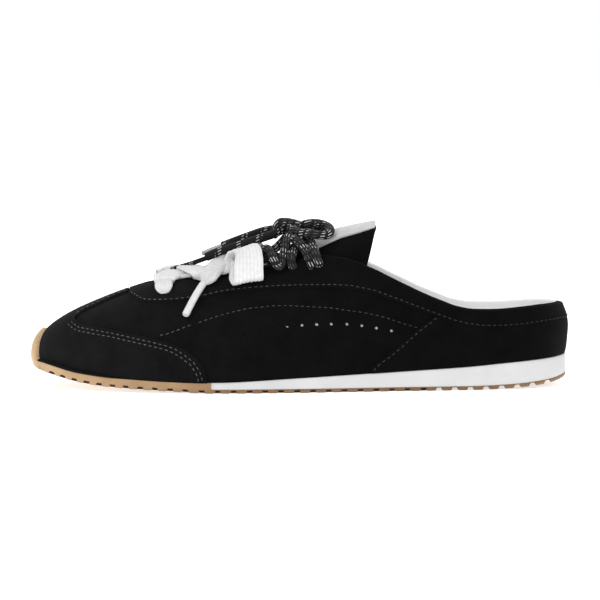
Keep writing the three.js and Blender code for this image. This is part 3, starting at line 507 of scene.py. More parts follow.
def dashRows(around, along, dense):  # thin white dashes along the rows of the braid
    look = ropeLook
    row = times(plus(around, times(along, look["lean"])), look["rows"])
    number = mathOf("FLOOR", row)
    start = mathOf("FRACT", plus(times(along, 1 / look["repeat"]), times(number, look["shift"])))
    middle = mathOf("ABSOLUTE", mathOf("SUBTRACT", mathOf("FRACT", row), 0.5))
    dash = times(mathOf("LESS_THAN", start, look["share"]), mathOf("LESS_THAN", middle, look["thin"]))
    place = mathOf("FRACT", plus(times(along, 1 / look["group"]), times(number, look["drift"])))
    tangled = mathOf("LESS_THAN", along, dense)
    chosen = mathOf("LESS_THAN", place, plus(times(tangled, look["more"]), look["grouped"]))
    return times(dash, mathOf("MAXIMUM", chosen, times(tangled, look["faint"])))


def makeRopeLace(name, dense=1000.0):  # flecks in every row up to a length, then in groups
    black, white = ropeLook["black"], ropeLook["white"]
    material = startLook(name, black, 0.7, 0.3)
    around, along = laceCoordinates()
    lean = times(along, 1 / ropeLook["pitch"])
    strands = [waveOf(mathOf(way, around, lean), ropeLook["strands"]) for way in ("ADD", "SUBTRACT")]
    fleck = dashRows(around, along, dense)
    paint(mixOf(black, white, fleck, "MIX"))
    bumpOf(plus(mathOf("ABSOLUTE", times(*strands)), times(fleck, 0.5)), 0.0003, 0.9)
    return material


looks = {key: makePlain(*row) for key, row in plainLooks.items()}
looks.update({
    "suede": makeSuede("suedeBlack"), "overlay": makeSuede("suedeOverlay", 1.08), "gum": makeGum(),
    "thread": makeThread("threadGrey", (0.09, 0.09, 0.095), ((0.22, 1.0), (0.42, 0.52), (0.88, 0.16))),
    "backing": makeThread("holeBacking", (0.72, 0.72, 0.71)),
    "shade": makeThread("holeShade", (0.02, 0.02, 0.021)), "whiteLace": makeWhiteLace(),
    "ropeLace": makeRopeLace("ropeLaceBraid"), "tipDark": makeRopeLace("tipDark", 0.0),
})
print("materials made")


# meshes
def gridFaces(rows, columns, closeRows=False, closeColumns=False, start=0, flip=False):
    i = np.arange(rows - (not closeRows))[:, None]
    j = np.arange(columns - (not closeColumns))[None]
    i, j = np.broadcast_arrays(i, j)
    on, over = (i + 1) % rows, (j + 1) % columns
    quads = np.stack([i * columns + j, on * columns + j, on * columns + over, i * columns + over], -1)
    quads = quads.reshape(-1, 4) + start
    return (quads[:, ::-1] if flip else quads).tolist()


def placePiece(name, mesh, look, replaces):
    mesh.materials.append(looks[look])
    piece = placed(name, mesh)
    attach(piece, "root")
    if replaces:
        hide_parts(*replaces)
    return piece


def addPiece(name, grids, look, replaces=(), weld=0.02):
    points, faces = [], []
    for grid, options in grids:
        faces += gridFaces(*grid.shape[:2], start=sum(len(p) for p in points), **options)
        points.append(grid.reshape(-1, 3))
    mesh = bpy.data.meshes.new(name)
    mesh.from_pydata((np.concatenate(points) * mm).tolist(), [], faces)
    shape = bmesh.new()
    shape.from_mesh(mesh)
    if weld:
        bmesh.ops.remove_doubles(shape, verts=shape.verts, dist=weld * mm)
    flat = [f for f in shape.faces if f.calc_area() < 1e-12]
    bmesh.ops.delete(shape, geom=flat, context="FACES")
    for face in shape.faces:
        face.smooth = True
    shape.to_mesh(mesh)
    shape.free()
    return placePiece(name, mesh, look, replaces)


def tubeRings(path, across, widths, heights, section):  # rings of points round a path
    along = unit(np.gradient(path, axis=0))
    side = unit(across - (across * along).sum(-1, keepdims=True) * along)
    up = np.cross(along, side)
    return (path[:, None] + side[:, None] * (section[None, :, 0] * widths[:, None] / 2)[..., None]
            + up[:, None] * (section[None, :, 1] * heights[:, None] / 2)[..., None])


def addTube(name, rings, look, lay, replaces=()):  # a closed tube with a map of its own lay
    count, around = rings.shape[:2]
    points = np.concatenate([rings.reshape(-1, 3), rings[0].mean(0)[None], rings[-1].mean(0)[None]])
    sides = gridFaces(count, around, closeColumns=True)
    first, edge = count * around, (count - 1) * around
    caps = [[first, (j + 1) % around, j] for j in range(around)]
    caps += [[first + 1, edge + j, edge + (j + 1) % around] for j in range(around)]
    mesh = bpy.data.meshes.new(name)
    mesh.from_pydata((points * mm).tolist(), [], [f[::-1] for f in sides + caps])
    layer = mesh.uv_layers.new(name="lay")
    place = []
    for k, face in enumerate(mesh.polygons):
        face.use_smooth = k < len(sides)
        spots = [mesh.loops[i].vertex_index for i in face.loop_indices]
        turns = [(v % around) / around for v in spots]
        wraps = max(turns) - min(turns) > 0.5
        for v, turn in zip(spots, turns):
            place.append((turn + 1 if wraps and turn < 0.5 else turn, lay[min(v // around, count - 1)]))
    layer.data.foreach_set("uv", np.array(place, np.float32).ravel())
    return placePiece(name, mesh, look, replaces)


def runOf(points):  # the length along a row of points
    return np.concatenate([[0], np.cumsum(np.linalg.norm(np.diff(points, axis=0), axis=1))])


def readAt(rows, run, marks):
    return np.stack([np.interp(marks, run, rows[:, axis]) for axis in range(3)], 1)


def smoothPath(points, step):  # centripetal curve through the points, at an even step
    points = np.array(points, float)
    ends = np.concatenate([[2 * points[0] - points[1]], points, [2 * points[-1] - points[-2]]])
    knots = np.concatenate([[0], np.cumsum(np.linalg.norm(np.diff(ends, axis=0), axis=1) ** 0.5)])
    fine = []
    for i in range(1, len(ends) - 2):
        t = np.linspace(knots[i], knots[i + 1], 24, endpoint=False)[:, None]
        level, near = list(ends[i - 1:i + 3]), knots[i - 1:i + 3]
        for span in (1, 2):
            level = [a + (b - a) * (t - near[k]) / (near[k + span] - near[k])
                     for k, (a, b) in enumerate(zip(level, level[1:]))]
        a, b = level
        fine.append(a + (b - a) * (t - knots[i]) / (knots[i + 1] - knots[i]))
    fine = np.concatenate(fine + [points[-1:]])
    run = runOf(fine)
    marks = np.linspace(0, run[-1], max(2, round(run[-1] / step)) + 1)
    return readAt(fine, run, marks), marks


def overLast(at, side, lift):  # a place over the last: shares of the length and ball width
    w = (-1.0 if side < 0 else 1.0) * turnOfCrown(at)
    low, high = 0.3, 1.0
    for _ in range(30):
        middle = (low + high) / 2
        outside = abs(lastAt(w, middle)[1]) > abs(side) * size["ball"]
        low, high = (middle, high) if outside else (low, middle)
    normal = normalAt(w, low)
    if abs(side) < 0.02:
        normal = unit(normal * np.array([1, 0, 1]))
    return lastAt(w, low) + normal * lift


# laces: the courses of the source, then their weave
flatLace = {"loop": 15.5, "tip": 3.5, "ribs": 8, "ribDepth": 0.17}
roundLace = {"thick": 4.4, "tip": 2.4, "step": 0.6}
eyelets = {
    "front": (0.246, 0.18), "frontNear": (0.25, 0.204), "frontUnder": (0.25, 0.135), "second": (0.322, 0.155),
    "fourth": (0.494, 0.215), "fourthNear": (0.487, 0.215), "top": (0.533, 0.255),
}


def flatSection(count=46):  # across the flat lace, ribbed on both faces, round at the edges
    x = np.cos(np.linspace(np.pi, 0, count))
    rib = 1 + flatLace["ribDepth"] * np.cos(x * np.pi * flatLace["ribs"])
    z = np.sqrt(np.clip(1 - np.abs(x) ** 7, 0, 1)) * rib / (1 + flatLace["ribDepth"])
    return np.concatenate([np.stack([x, z], 1), np.stack([x[::-1], -z[::-1]], 1)[1:-1]])


def roundSection(count=20):
    a = np.linspace(0, 2 * np.pi, count, endpoint=False)
    return np.stack([np.cos(a), np.sin(a)], 1)


def course(rows, mirror=1):
    return [overLast(at, side * mirror, lift) for at, side, lift in rows]


whiteLoop = (
    (0.374, -0.085, 6.8), (0.389, -0.108, 10.2), (0.402, -0.138, 13), (0.408, -0.173, 13.4),
    (0.407, -0.213, 11.7), (0.404, -0.247, 9.2), (0.402, -0.268, 6.6), (0.398, -0.258, 4.2),
    (0.393, -0.225, 3.9), (0.393, -0.187, 4.5), (0.393, -0.14, 5.5),
)
whiteEnd = (
    (0.358, -0.1, 6), (0.346, -0.15, 5.6), (0.333, -0.2, 5), (0.318, -0.25, 3.8), (0.304, -0.305, 3.2),
    (0.29, -0.36, 3.2),
)
knotWhite = {"at": 0.366, "lift": 4.9, "long": 11, "wide": 15, "high": 5.6}
knotRope = {"at": 0.502, "lift": 8.3, "long": 11, "wide": 13, "high": 9.4}


def runTo(path, run, point):  # the length at which the path passes a point
    return float(run[np.linalg.norm(path - point, axis=1).argmin()])


def addStrap(name, path, run, across, widths, heights, replaces=()):
    across = across * np.ones((len(path), 1))
    rings = tubeRings(path, across, widths, heights * np.ones(len(path)), flatSection())
    return addTube(name, rings, "whiteLace", run, replaces)


def addWhiteHalf(name, mirror, nodes):
    knot = overLast(knotWhite["at"], 0, knotWhite["lift"])
    loop, end = [p + np.array([1.4, 0, 0]) for p in course(whiteLoop, mirror)], course(whiteEnd, mirror)
    inside = [knot + np.array([3.0, -mirror * 3.5, 0.6]), knot + np.array([-2.0, -mirror * 3.5, 0.4])]
    path, run = smoothPath([inside[0] + np.array([0, mirror * 2, 1])] + loop + inside + end, 0.9)
    turns = [runTo(path, run, p) for p in (loop[1], loop[4], loop[6], loop[-3], inside[1], end[1], end[2])]
    marks = [0, *turns, turns[-1] + 2.6, turns[-1] + 4.2, run[-1]]
    widths = np.interp(run, marks, [7.5, 11, 14.2, 14.6, 15.2, 7, 9, 8.4, 6, 3, 3])
    heights = np.interp(run, marks, [2.6, 2, 2, 2.3, 2, 3.2, 3.6, 4.4, 4.2, 2.8, 2.6])
    tilt = np.interp(run, [0, turns[0], turns[2], turns[4], turns[4] + 3], [0.4, 0.35, 0.2, 0, 0])
    across = np.stack([np.ones(len(path)), 0 * tilt, tilt], -1)
    piece = addStrap(name, path, run, across, widths, heights, nodes)
    first = int(np.searchsorted(run, turns[-1] + 3))
    tipPath = np.concatenate([path[first:], path[-1:] + unit(path[-1] - path[-4]) * 0.6])
    place = np.arange(len(tipPath))
    wide = flatLace["tip"] * np.clip(np.minimum(place + 1.6, len(tipPath) - place + 1.2) / 3, 0, 1)
    rings = tubeRings(tipPath, np.array([[1.0, 0, 0]]), wide, wide, roundSection())
    tip = addTube(name + "Tip", rings, "tipWhite", place * 0.9)


addWhiteHalf("whiteLaceNear", 1, ("white_loop_near", "white_end_near"))
addWhiteHalf("whiteLaceFar", -1, ("white_loop_far", "white_end_far"))

ropeLoopNear = (
    (0.492, -0.09, 8.6), (0.482, -0.135, 7.4), (0.473, -0.18, 5.8), (0.465, -0.228, 4.8), (0.459, -0.226, 7.2),
    (0.455, -0.19, 9.4), (0.448, -0.15, 10.2), (0.438, -0.115, 8), (0.437, -0.08, 5.4), (0.446, -0.05, 4.4),
    (0.458, -0.042, 4.4),
)
ropeLoopRear = (
    (0.527, -0.04, 8.6), (0.543, -0.03, 6), (0.554, -0.06, 3.3), (0.559, -0.11, 2.4), (0.554, -0.145, 3),
    (0.542, -0.148, 5.2), (0.528, -0.132, 7.5), (0.516, -0.108, 8.2),
)
ropeEndNear = (
    (0.468, -0.032, 11.6), (0.43, -0.04, 11.6), (0.385, -0.042, 10.9), (0.35, -0.04, 9.8), (0.33, -0.038, 8.4),
)
ropeTipNear = ((0.335, -0.037, 8.2), (0.302, -0.038, 6.6), (0.262, -0.04, 4.9))
ropeEndFar = (
    (0.486, 0.024, 12.4), (0.453, 0.038, 14.2), (0.416, 0.052, 14.1), (0.383, 0.062, 13.2), (0.362, 0.064, 12.4),
)
ropeTipFar = ((0.368, 0.063, 12.7), (0.344, 0.066, 11.7), (0.322, 0.068, 10.4))


def frameAlong(path):  # a side vector that turns with the path as little as it can
    along = unit(np.gradient(path, axis=0))
    sides = [unit(np.cross(along[0], [0, 0, 1.0]))]
    for direction in along[1:]:
        sides.append(unit(sides[-1] - np.dot(sides[-1], direction) * direction))
    return np.array(sides)


def addRope(name, points, look="ropeLace", nodes=(), thick=roundLace["thick"]):
    path, run = smoothPath(points, roundLace["step"])
    sizes = np.full(len(path), float(thick))
    sizes[0] = sizes[-1] = thick * 0.8
    rings = tubeRings(path, frameAlong(path), sizes, sizes, roundSection())
    return addTube(name, rings, look, run, nodes), path, run


def addRopeHalf(name, loopRows, endRows, tipRows, tipLook, nodes, into):
    knot = overLast(knotRope["at"], 0, knotRope["lift"])
    inside = [knot + np.array(p, float) for p in into]
    points = [inside[0]] + course(loopRows) + inside[1:] + course(endRows)
    path, run = smoothPath(points, roundLace["step"])
    looks[name] = makeRopeLace(name + "Braid", runTo(path, run, inside[-1]) + 4)
    piece, path, run = addRope(name, points, name, nodes)
    tip = addRope(name + "Tip", course(tipRows), tipLook, thick=roundLace["tip"])[0]


addRopeHalf("ropeLaceNear", ropeLoopNear, ropeEndNear, ropeTipNear, "tipDark",
            ("rope_loop_near", "rope_end_near"), ((2, -4, 0), (-1.5, 0.5, 0), (-2, 1.5, 2.2)))
addRopeHalf("ropeLaceFar", ropeLoopRear, ropeEndFar, ropeTipFar, "tipGrey",
            ("rope_loop_rear", "rope_end_far"), ((3, 0, 1.5), (0.5, -4, 1.5), (-2, 2, 2.8)))


def barCourse(near, far, lift, middle):  # from one eyelet over the gap to the other
    rows = []
    for w in (-1, -0.82, -0.35, 0.35, 0.82, 1):
        at = near[0] + (far[0] - near[0]) * (w + 1) / 2
        rows.append((at, w * (near[1] if w < 0 else far[1]), lift if abs(w) > 0.5 else middle))
    return rows


def dived(rows, mirror, down):  # the course with both ends turned down into their eyelets
    points = course(rows, mirror)
    sunk = []
    for end, beside in ((0, 1), (-1, -2)):
        outward = unit(points[end] - points[beside])
        normal = unit(points[end] - overLast(rows[end][0], rows[end][1] * mirror, 0))
        sunk.append(points[end] + outward * 1.6 - normal * down)
    return [sunk[0], *points, sunk[1]]


# name, eyelets, height over the overlay and over the gap, mirrored or not, width, thickness, nodes
whiteBars = (
    ("whiteBarFront", "frontNear", "front", 1.5, -0.1, 1, 8.8, 2.6, ("white_lace_bars",)),
    ("whiteBarUnder", "frontUnder", "second", 1.9, 1.9, 1, 11.5, 2.6, ()),
    ("whiteBarOver", "frontUnder", "second", 2.6, 2.9, -1, 11.5, 2.8, ()),
)
ropeBars = (
    ("ropeBarFourth", "fourthNear", "fourth", 1, ("rope_lace_bars",)),
    ("ropeBarUnder", "fourthNear", "top", 1, ()), ("ropeBarOver", "fourth", "top", -1, ()),
)


def addBars():
    over = 2 * size["gap"] + size["overlay"]
    lift, sunk = over + roundLace["thick"] / 2 + 0.5, roundLace["thick"] / 2 - 0.4
    for name, near, far, high, middle, mirror, wide, thick, nodes in whiteBars:
        rows = barCourse(eyelets[near], eyelets[far], over + high, over + middle)
        path, run = smoothPath(dived(rows, mirror, 4.2), 0.8)
        inward = np.minimum(run, run[-1] - run)
        widths = wide * np.sqrt(np.clip(1 - np.clip(1 - (inward - 1.2) / 4.5, 0, 1) ** 2, 0.12, 1))
        heights = thick * np.clip(1.4 - inward / 14, 1, 1.4)
        addStrap(name, path, run, np.array([[1.0, 0, 0]]), widths, heights, nodes)
    for name, near, far, mirror, nodes in ropeBars:
        addRope(name, dived(barCourse(eyelets[near], eyelets[far], lift, sunk), mirror, 5), nodes=nodes)


addBars()

# strands that run from the eyelets into the knots
ropeRuns = {
    "ropeRunThird": ((0.4165, -0.215, 0.6), (0.418, -0.195, 4.6), (0.423, -0.165, 6.6), (0.4305, -0.13, 4.6),
                     (0.439, -0.095, 2), (0.449, -0.06, 0.2), (0.462, -0.03, 0)),
    "ropeRunRear": ((0.489, -0.05, 8.5), (0.4985, -0.095, 7.6), (0.5095, -0.15, 6.2), (0.5155, -0.205, 4.8),
                    (0.5195, -0.245, 3.2), (0.5215, -0.268, 0.4)),
    "ropeRunTop": ((0.5, 0.02, 8.6), (0.516, 0.02, 6.6), (0.53, 0.014, 4.6), (0.541, 0.004, 3.2),
                   (0.549, -0.02, 1.8)),
    "ropeRunOver": ((0.462, 0, 9.6), (0.473, -0.01, 13.2), (0.488, -0.02, 15.5), (0.504, -0.02, 13.6),
                    (0.519, -0.02, 8.8)),
}
whiteRun = ((0.25, -0.065, 1.6), (0.28, -0.072, 1.8), (0.31, -0.078, 2.4), (0.338, -0.065, 3.6))
whiteWrap = (
    (0.386, -0.085, 6.2), (0.378, -0.12, 5.3), (0.366, -0.137, 4.8), (0.354, -0.132, 4.8), (0.344, -0.1, 5.4),
)
whiteRuns = (
    ("whiteRunNear", whiteRun, 1, 10, 2.4, (0, 1, 0.1)), ("whiteRunFar", whiteRun, -1, 10, 2.4, (0, 1, -0.1)),
    ("whiteWrap", whiteWrap, 1, 7.5, 3.2, (0, 0.6, 0.8)),
)


def addRuns():
    for name, rows in ropeRuns.items():
        addRope(name, course(rows))
    for name, rows, mirror, wide, thick, across in whiteRuns:
        path, run = smoothPath(course(rows, mirror), 0.8)
        widths = wide * np.clip(0.6 + np.minimum(run, run[-1] - run) / 6, 0.6, 1)
        addStrap(name, path, run, np.array([across], float), widths, thick)


addRuns()


def addKnot(name, knot, look, node, thick, wide):  # a lump of lace wound in three crossings
    centre = overLast(knot["at"], 0, knot["lift"])
    ahead = unit(overLast(knot["at"] + 0.01, 0, knot["lift"]) - overLast(knot["at"] - 0.01, 0, knot["lift"]))
    across = np.array([0, 1.0, 0])
    up = np.cross(ahead, across)
    a = np.linspace(0, 2 * np.pi, 90)[:, None]
    reach = (0.62 + 0.38 * np.cos(3 * a)) * (knot["wide"] - wide) / 2
    long, high = knot["long"] / knot["wide"], (knot["high"] - thick) / 2
    wound = ahead * np.cos(2 * a) * long + across * np.sin(2 * a)
    path, run = smoothPath(centre + wound * reach + up * np.sin(3 * a) * high, 0.5)
    section = flatSection() if look == "whiteLace" else roundSection()
    sizes = np.ones(len(path))
    rings = tubeRings(path, frameAlong(path), wide * sizes, thick * sizes, section)
    addTube(name, rings, look, run, (node,))


addKnot("whiteKnot", knotWhite, "whiteLace", "white_lace_knot", 2.8, 6.4)
addKnot("ropeKnot", knotRope, "ropeLace", "rope_lace_knot", 4.2, 4.2)
print("laces tied")

# upper: suede outside, lining inside, both open at the throat and collar
upperShape = {
    "columns": 560, "rows": 46, "foot": 0.6, "edge": 0.75,
    "throat": (0, 0.0015, 0.003, 0.0045, 0.006, 0.008, 0.011, 0.015, 0.02),
}


def columnsRound(count):  # finer where the throat opens
    turns = np.linspace(0, np.pi, count // 2 + 1)
    throat = turnOfCrown(size["throat"] + np.array(upperShape["throat"]))
    turns = turns[np.abs(turns[:, None] - throat[None]).min(1) > 0.003]
    turns = np.sort(np.concatenate([turns, throat]))
    return np.concatenate([-turns[:0:-1], turns[:-1]])


def shellGrid(w, ends, rows, lift, foot):
    t = np.linspace(0, 1, rows)[None] * ends[:, None]
    fold = creaseAt(lastAt(w[:, None], t)) if lift >= 0 else 0
    grid = onUpper(w[:, None], t, np.full(t.shape, float(lift)) + fold)
    low = lastAt(w, 0 * w) + unit(normalAt(w, 0 * w) * groundPlan) * lift
    grid[:, 0] = low
    low[:, 2] -= foot
    return np.concatenate([low[:, None], grid], 1)


def addUpper():
    w = columnsRound(upperShape["columns"])
    ends = wallEnd(w)
    outer = shellGrid(w, ends, upperShape["rows"], 0, upperShape["foot"])
    inner = shellGrid(w, ends, upperShape["rows"] // 2, -size["wall"], 0)
    opened = crownOf(partsOf(w)[2]) > size["throat"] - 1e-4
    loop = np.concatenate([np.flatnonzero(opened & half) for half in (w > 0, w < 0)])  # round the heel
    top = lastAt(w, ends)[loop][:, None]
    along = normalAt(w, ends)[loop][:, None]
    rise = unit(lastAt(w, ends) - lastAt(w, ends - 0.01))[loop][:, None]

    def rim(start, stop):
        a = np.linspace(start, stop, 5)[None, :, None]
        return top - along * size["wall"] * (1 - np.cos(a)) / 2 + rise * upperShape["edge"] * np.sin(a)

    suede = addPiece("upperSuede", [
        (outer, {"closeRows": True, "flip": True}), (rim(0, np.pi / 2), {"flip": True}),
    ], "suede", ("upper",))
    addPiece("upperLining", [(inner, {"closeRows": True}), (rim(np.pi / 2, np.pi), {"flip": True})], "lining")
    return suede


upperPiece = addUpper()

pinholes = {"radius": 0.72, "deep": 0.7, "reach": 2.6, "dim": 6, "places": (
    (-47.7, 20.7), (-40.2, 23.4), (-34.2, 26.4), (-27, 27.9), (-19.8, 30), (-13.1, 31.2), (-6.3, 32.3),
    (0.9, 32.9), (8.1, 33.2), (15.2, 33.3), (22.9, 33.2), (30.2, 32.4), (37.3, 31.1), (44.7, 29.7),
)}


def punch(shape, centre, normal, radius, deep, backing):
    def edgesWithin(reach):
        near = {v for v in shape.verts if (v.co - centre).length < reach}
        return [e for e in shape.edges if e.verts[0] in near and e.verts[1] in near]

    bmesh.ops.subdivide_edges(shape, edges=edgesWithin(pinholes["reach"] * mm), cuts=3, use_grid_fill=True)
    gone = [f for f in shape.faces if (f.calc_center_median() - centre).length < radius * 1.02]
    bmesh.ops.delete(shape, geom=gone, context="FACES")
    rim = [e for e in edgesWithin(radius * 2) if len(e.link_faces) == 1]
    for v in {v for e in rim for v in e.verts}:
        over = normal * (v.co - centre).dot(normal)
        v.co = centre + (v.co - centre - over).normalized() * radius + over
    made = bmesh.ops.extrude_edge_only(shape, edges=rim)["geom"]
    moved = [g for g in made if isinstance(g, bmesh.types.BMVert)]
    bmesh.ops.translate(shape, verts=moved, vec=-normal * deep)
    low = [g for g in made if isinstance(g, bmesh.types.BMEdge) and len(g.link_faces) == 1]
    for face in bmesh.ops.contextual_create(shape, geom=low)["faces"]:
        face.material_index, face.smooth = backing, False


def punchHoles():  # round holes through the suede, the front ones dark inside
    mesh, dim = upperPiece.data, pinholes["dim"]
    shape = bmesh.new()
    shape.from_mesh(mesh)
    for look in ("backing", "shade"):
        mesh.materials.append(looks[look])
    for side in (-1.0, 1.0):
        w, t = fromSide(side, pinholes["places"])
        normals, points = normalAt(w, t), lastAt(w, t)
        points = points + normals * creaseAt(points)[:, None]
        for k, (point, normal) in enumerate(zip(points, normals)):
            radius = pinholes["radius"] * mm * (0.8 if k < dim else 1)
            deep = pinholes["deep"] * mm * (1.6 if k <= dim else 1)
            punch(shape, Vector(point * mm), Vector(normal), radius, deep, 2 if k < dim else 1)
    for face in shape.faces:
        if face.material_index == 0:
            face.smooth = True
    shape.to_mesh(mesh)
    shape.free()


punchHoles()

# overlays: lines seen from the side, as shares of the length and of the instep height
guardLine = (
    (0.083, 0.475), (0.087, 0.45), (0.098, 0.43), (0.128, 0.417), (0.157, 0.405), (0.19, 0.383), (0.226, 0.359),
    (0.258, 0.334), (0.276, 0.312), (0.292, 0.28), (0.312, 0.226), (0.325, 0.16), (0.332, 0.07),
)
stripLine = ((0.083, 0.155), (0.088, 0.125), (0.104, 0.107), (0.132, 0.098), (0.16, 0.084), (0.185, 0.074))
bandLine = (
    (0.183, 0.623), (0.194, 0.61), (0.203, 0.592), (0.213, 0.581), (0.236, 0.58), (0.262, 0.584), (0.29, 0.593),
    (0.323, 0.609), (0.35, 0.632), (0.377, 0.647), (0.417, 0.662), (0.46, 0.673), (0.511, 0.681), (0.56, 0.684),
    (0.595, 0.677), (0.633, 0.649), (0.677, 0.592), (0.717, 0.537), (0.756, 0.484), (0.782, 0.45), (0.803, 0.43),
    (0.83, 0.415), (0.87, 0.411), (0.91, 0.419), (0.95, 0.434), (1, 0.447),
)
counterLine = (
    (0.618, 0.07), (0.63, 0.155), (0.643, 0.2), (0.66, 0.241), (0.679, 0.295), (0.7, 0.361), (0.716, 0.411),
    (0.735, 0.459), (0.752, 0.51), (0.756, 1.2),
)


def lineZ(line, x):
    return size["instep"] * np.interp(shareOf(x), *np.array(line).T)


def underBand(p):
    return (p[..., 2] < lineZ(bandLine, p[..., 0])) | (p[..., 0] < xOf(0.183))


def underGuard(p):
    x = p[..., 0]
    return (x < xOf(0.083)) | (p[..., 2] < lineZ(guardLine, x)) & (x < xOf(0.332))


def offStrip(p):
    return np.abs(p[..., 1]) > size["ball"] / size["instep"] * lineZ(stripLine, p[..., 0])


def underCounter(p):
    return (p[..., 2] < lineZ(counterLine, p[..., 0])) & (p[..., 2] < lineZ(bandLine, p[..., 0]) + 1.6)


def crowded(count):  # rows that crowd towards both edges
    s = np.linspace(0, 1, count)
    return 0.35 * s + 0.65 * (1 - np.cos(np.pi * s)) / 2


def rounded(distance):  # the height of a round edge at a distance from the edge
    return np.sqrt(np.clip(1 - (1 - np.clip(distance, 0, 1)) ** 2, 0, 1))


def panelGrid(w, low, high, rows, edges, thick, soft=0.9):
    t = low[:, None] + (high - low)[:, None] * crowded(rows)[None]
    points = lastAt(w[:, None], t)
    flat, edge = points.reshape(-1, 1, 3), np.concatenate(edges)[None]
    blocks = range(0, len(flat), 4000)
    distance = np.concatenate([np.sqrt(((flat[k:k + 4000] - edge) ** 2).sum(-1)).min(1) for k in blocks])
    lift = thick * rounded(distance.reshape(t.shape) / soft) - 0.03
    return points + normalAt(w[:, None], t) * (lift + creaseAt(points))[..., None]


guardHem = {"at": 0.5, "wide": 0.2, "down": 0.9, "proud": 0.3}  # laps over the gum band beside the toe bumper


def addHem(w, grid, thick):
    outward = unit(normalAt(w, 0 * w) * groundPlan)
    away = ((np.stack(outline(w, 0), -1) - lastAt(w, 0 * w)[:, :2]) * outward[:, :2]).sum(1)
    down = bell((np.abs(w) - guardHem["at"]) / guardHem["wide"])
    out = np.maximum(0, away + guardHem["proud"] - thick) * np.clip(8 * down, 0, 1)
    shelf = grid[:, :1] + (outward * (out + 0.1)[:, None])[:, None]
    hem = shelf.copy()
    hem[:, 0, 2] -= guardHem["down"] * down + 0.3
    return np.concatenate([hem, shelf, grid], 1)


def addPanels():
    thick = size["overlay"] + size["gap"] - 0.1
    grids, seams = {"toeGuard": [], "eyestayPanel": [], "heelCounter": []}, {}
    turns = np.clip(np.linspace(0.0, np.pi, 320), 1e-6, np.pi - 1e-6)
    place = np.arange(len(turns))
    for side in (-1.0, 1.0):
        w, seams[side] = side * turns, {}

        def cut(name, keep, low, high, rows, edges, thick, soft=0.9, hem=False):
            grid = panelGrid(w[keep], low[keep], high[keep], rows, edges, thick, soft)
            grids[name].append((addHem(w[keep], grid, thick) if hem else grid, {"flip": side < 0}))

        def seam(name, keep, t):
            seams[side][name] = w[keep], t[keep]
            return lastAt(w[keep], t[keep])

        # toe guard and its strip up the vamp
        guard, strip = crossing(w, underGuard), crossing(w, offStrip)
        stop = crossing(w, lambda p: p[..., 0] < xOf(0.183) - size["gap"])
        joint = int(np.flatnonzero(guard < strip - 0.004)[0])
        meet = np.clip((guard + strip) / 2, 0.3, 0.95)[joint]
        guardHigh, stripLow = np.where(place < joint, meet, guard), np.where(place < joint, meet, strip)
        guardKeep = place <= np.flatnonzero(guard > 0.002)[-1]
        stripKeep = place <= np.flatnonzero(stripLow < stop - 0.002)[-1]
        ending = (stop < 0.999) & stripKeep
        behind = place >= joint
        lines = [seam("guard", guardKeep & behind, guard), seam("strip", stripKeep & behind, strip),
                 lastAt(w[ending], stop[ending])]
        cut("toeGuard", guardKeep, 0 * w, guardHigh, 34, lines, thick, hem=True)
        cut("toeGuard", stripKeep, stripLow, np.minimum(1, stop), 22, lines, thick)
        # eyestay and collar band
        ends, band = wallEnd(w), crossing(w, underBand)
        wide = band < ends - 0.003
        keep = place >= np.flatnonzero(wide)[0]
        opened = keep & (ends < 0.9999)
        edges = [lastAt(w[opened], ends[opened]), lastAt(w[keep], band[keep])]
        cut("eyestayPanel", keep, band, ends, 26, edges, thick, 1.0)
        seam("band", wide, band)
        # heel counter
        counter = crossing(w, underCounter)
        keep = place >= np.flatnonzero(counter > 0.004)[0]
        edge = seam("counter", keep, counter)
        cut("heelCounter", keep, 0 * w, counter, 26, [edge[edge[:, 0] < xOf(0.75)]], thick - 0.25)
    for (name, parts), node in zip(grids.items(), ("toe_guard", "eyestay", "heel_counter")):
        addPiece(name, parts, "overlay", (node,))
    return seams


seams = addPanels()
print("upper and its panels made")

# sole
treadShape = {"depth": 1.6, "wide": 3.3, "roof": 2.2, "pocket": 6, "openFrom": 62, "toeTurn": 0.28}
grooves = [-128.5 + 5.4 * i + 0.108 * i * i for i in range(12)] + [-48 + 7.727 * i for i in range(23)]
cutMarks = (-2.6, -1.6, -1.5, -1.15, -0.8, -0.7, 0, 0.7, 0.8, 1.15, 1.5, 1.6, 2.6)  # rows round each groove


def turnAt(x):
    return np.arccos(1 - 2 * np.clip((np.array(x) - soleFront) / (soleBack - soleFront), 0, 1))


def soleTurns(low, high, stations):
    turns = np.unique(np.round(np.concatenate([turnAt(stations), np.linspace(0.0, np.pi, 150)]), 5))
    return np.concatenate([[low], turns[(turns > low + 2e-4) & (turns < high - 2e-4)], [high]])


def grooveDepth(x):
    slope = treadShape["depth"] * 2 / (treadShape["wide"] - treadShape["roof"])
    away = np.abs(x - np.array(grooves).reshape(-1, *[1] * np.ndim(x))).min(0)
    return np.clip((treadShape["wide"] / 2 - away) * slope, 0, treadShape["depth"])


def bandTop(x):
    return soleTopZ(shareOf(x))


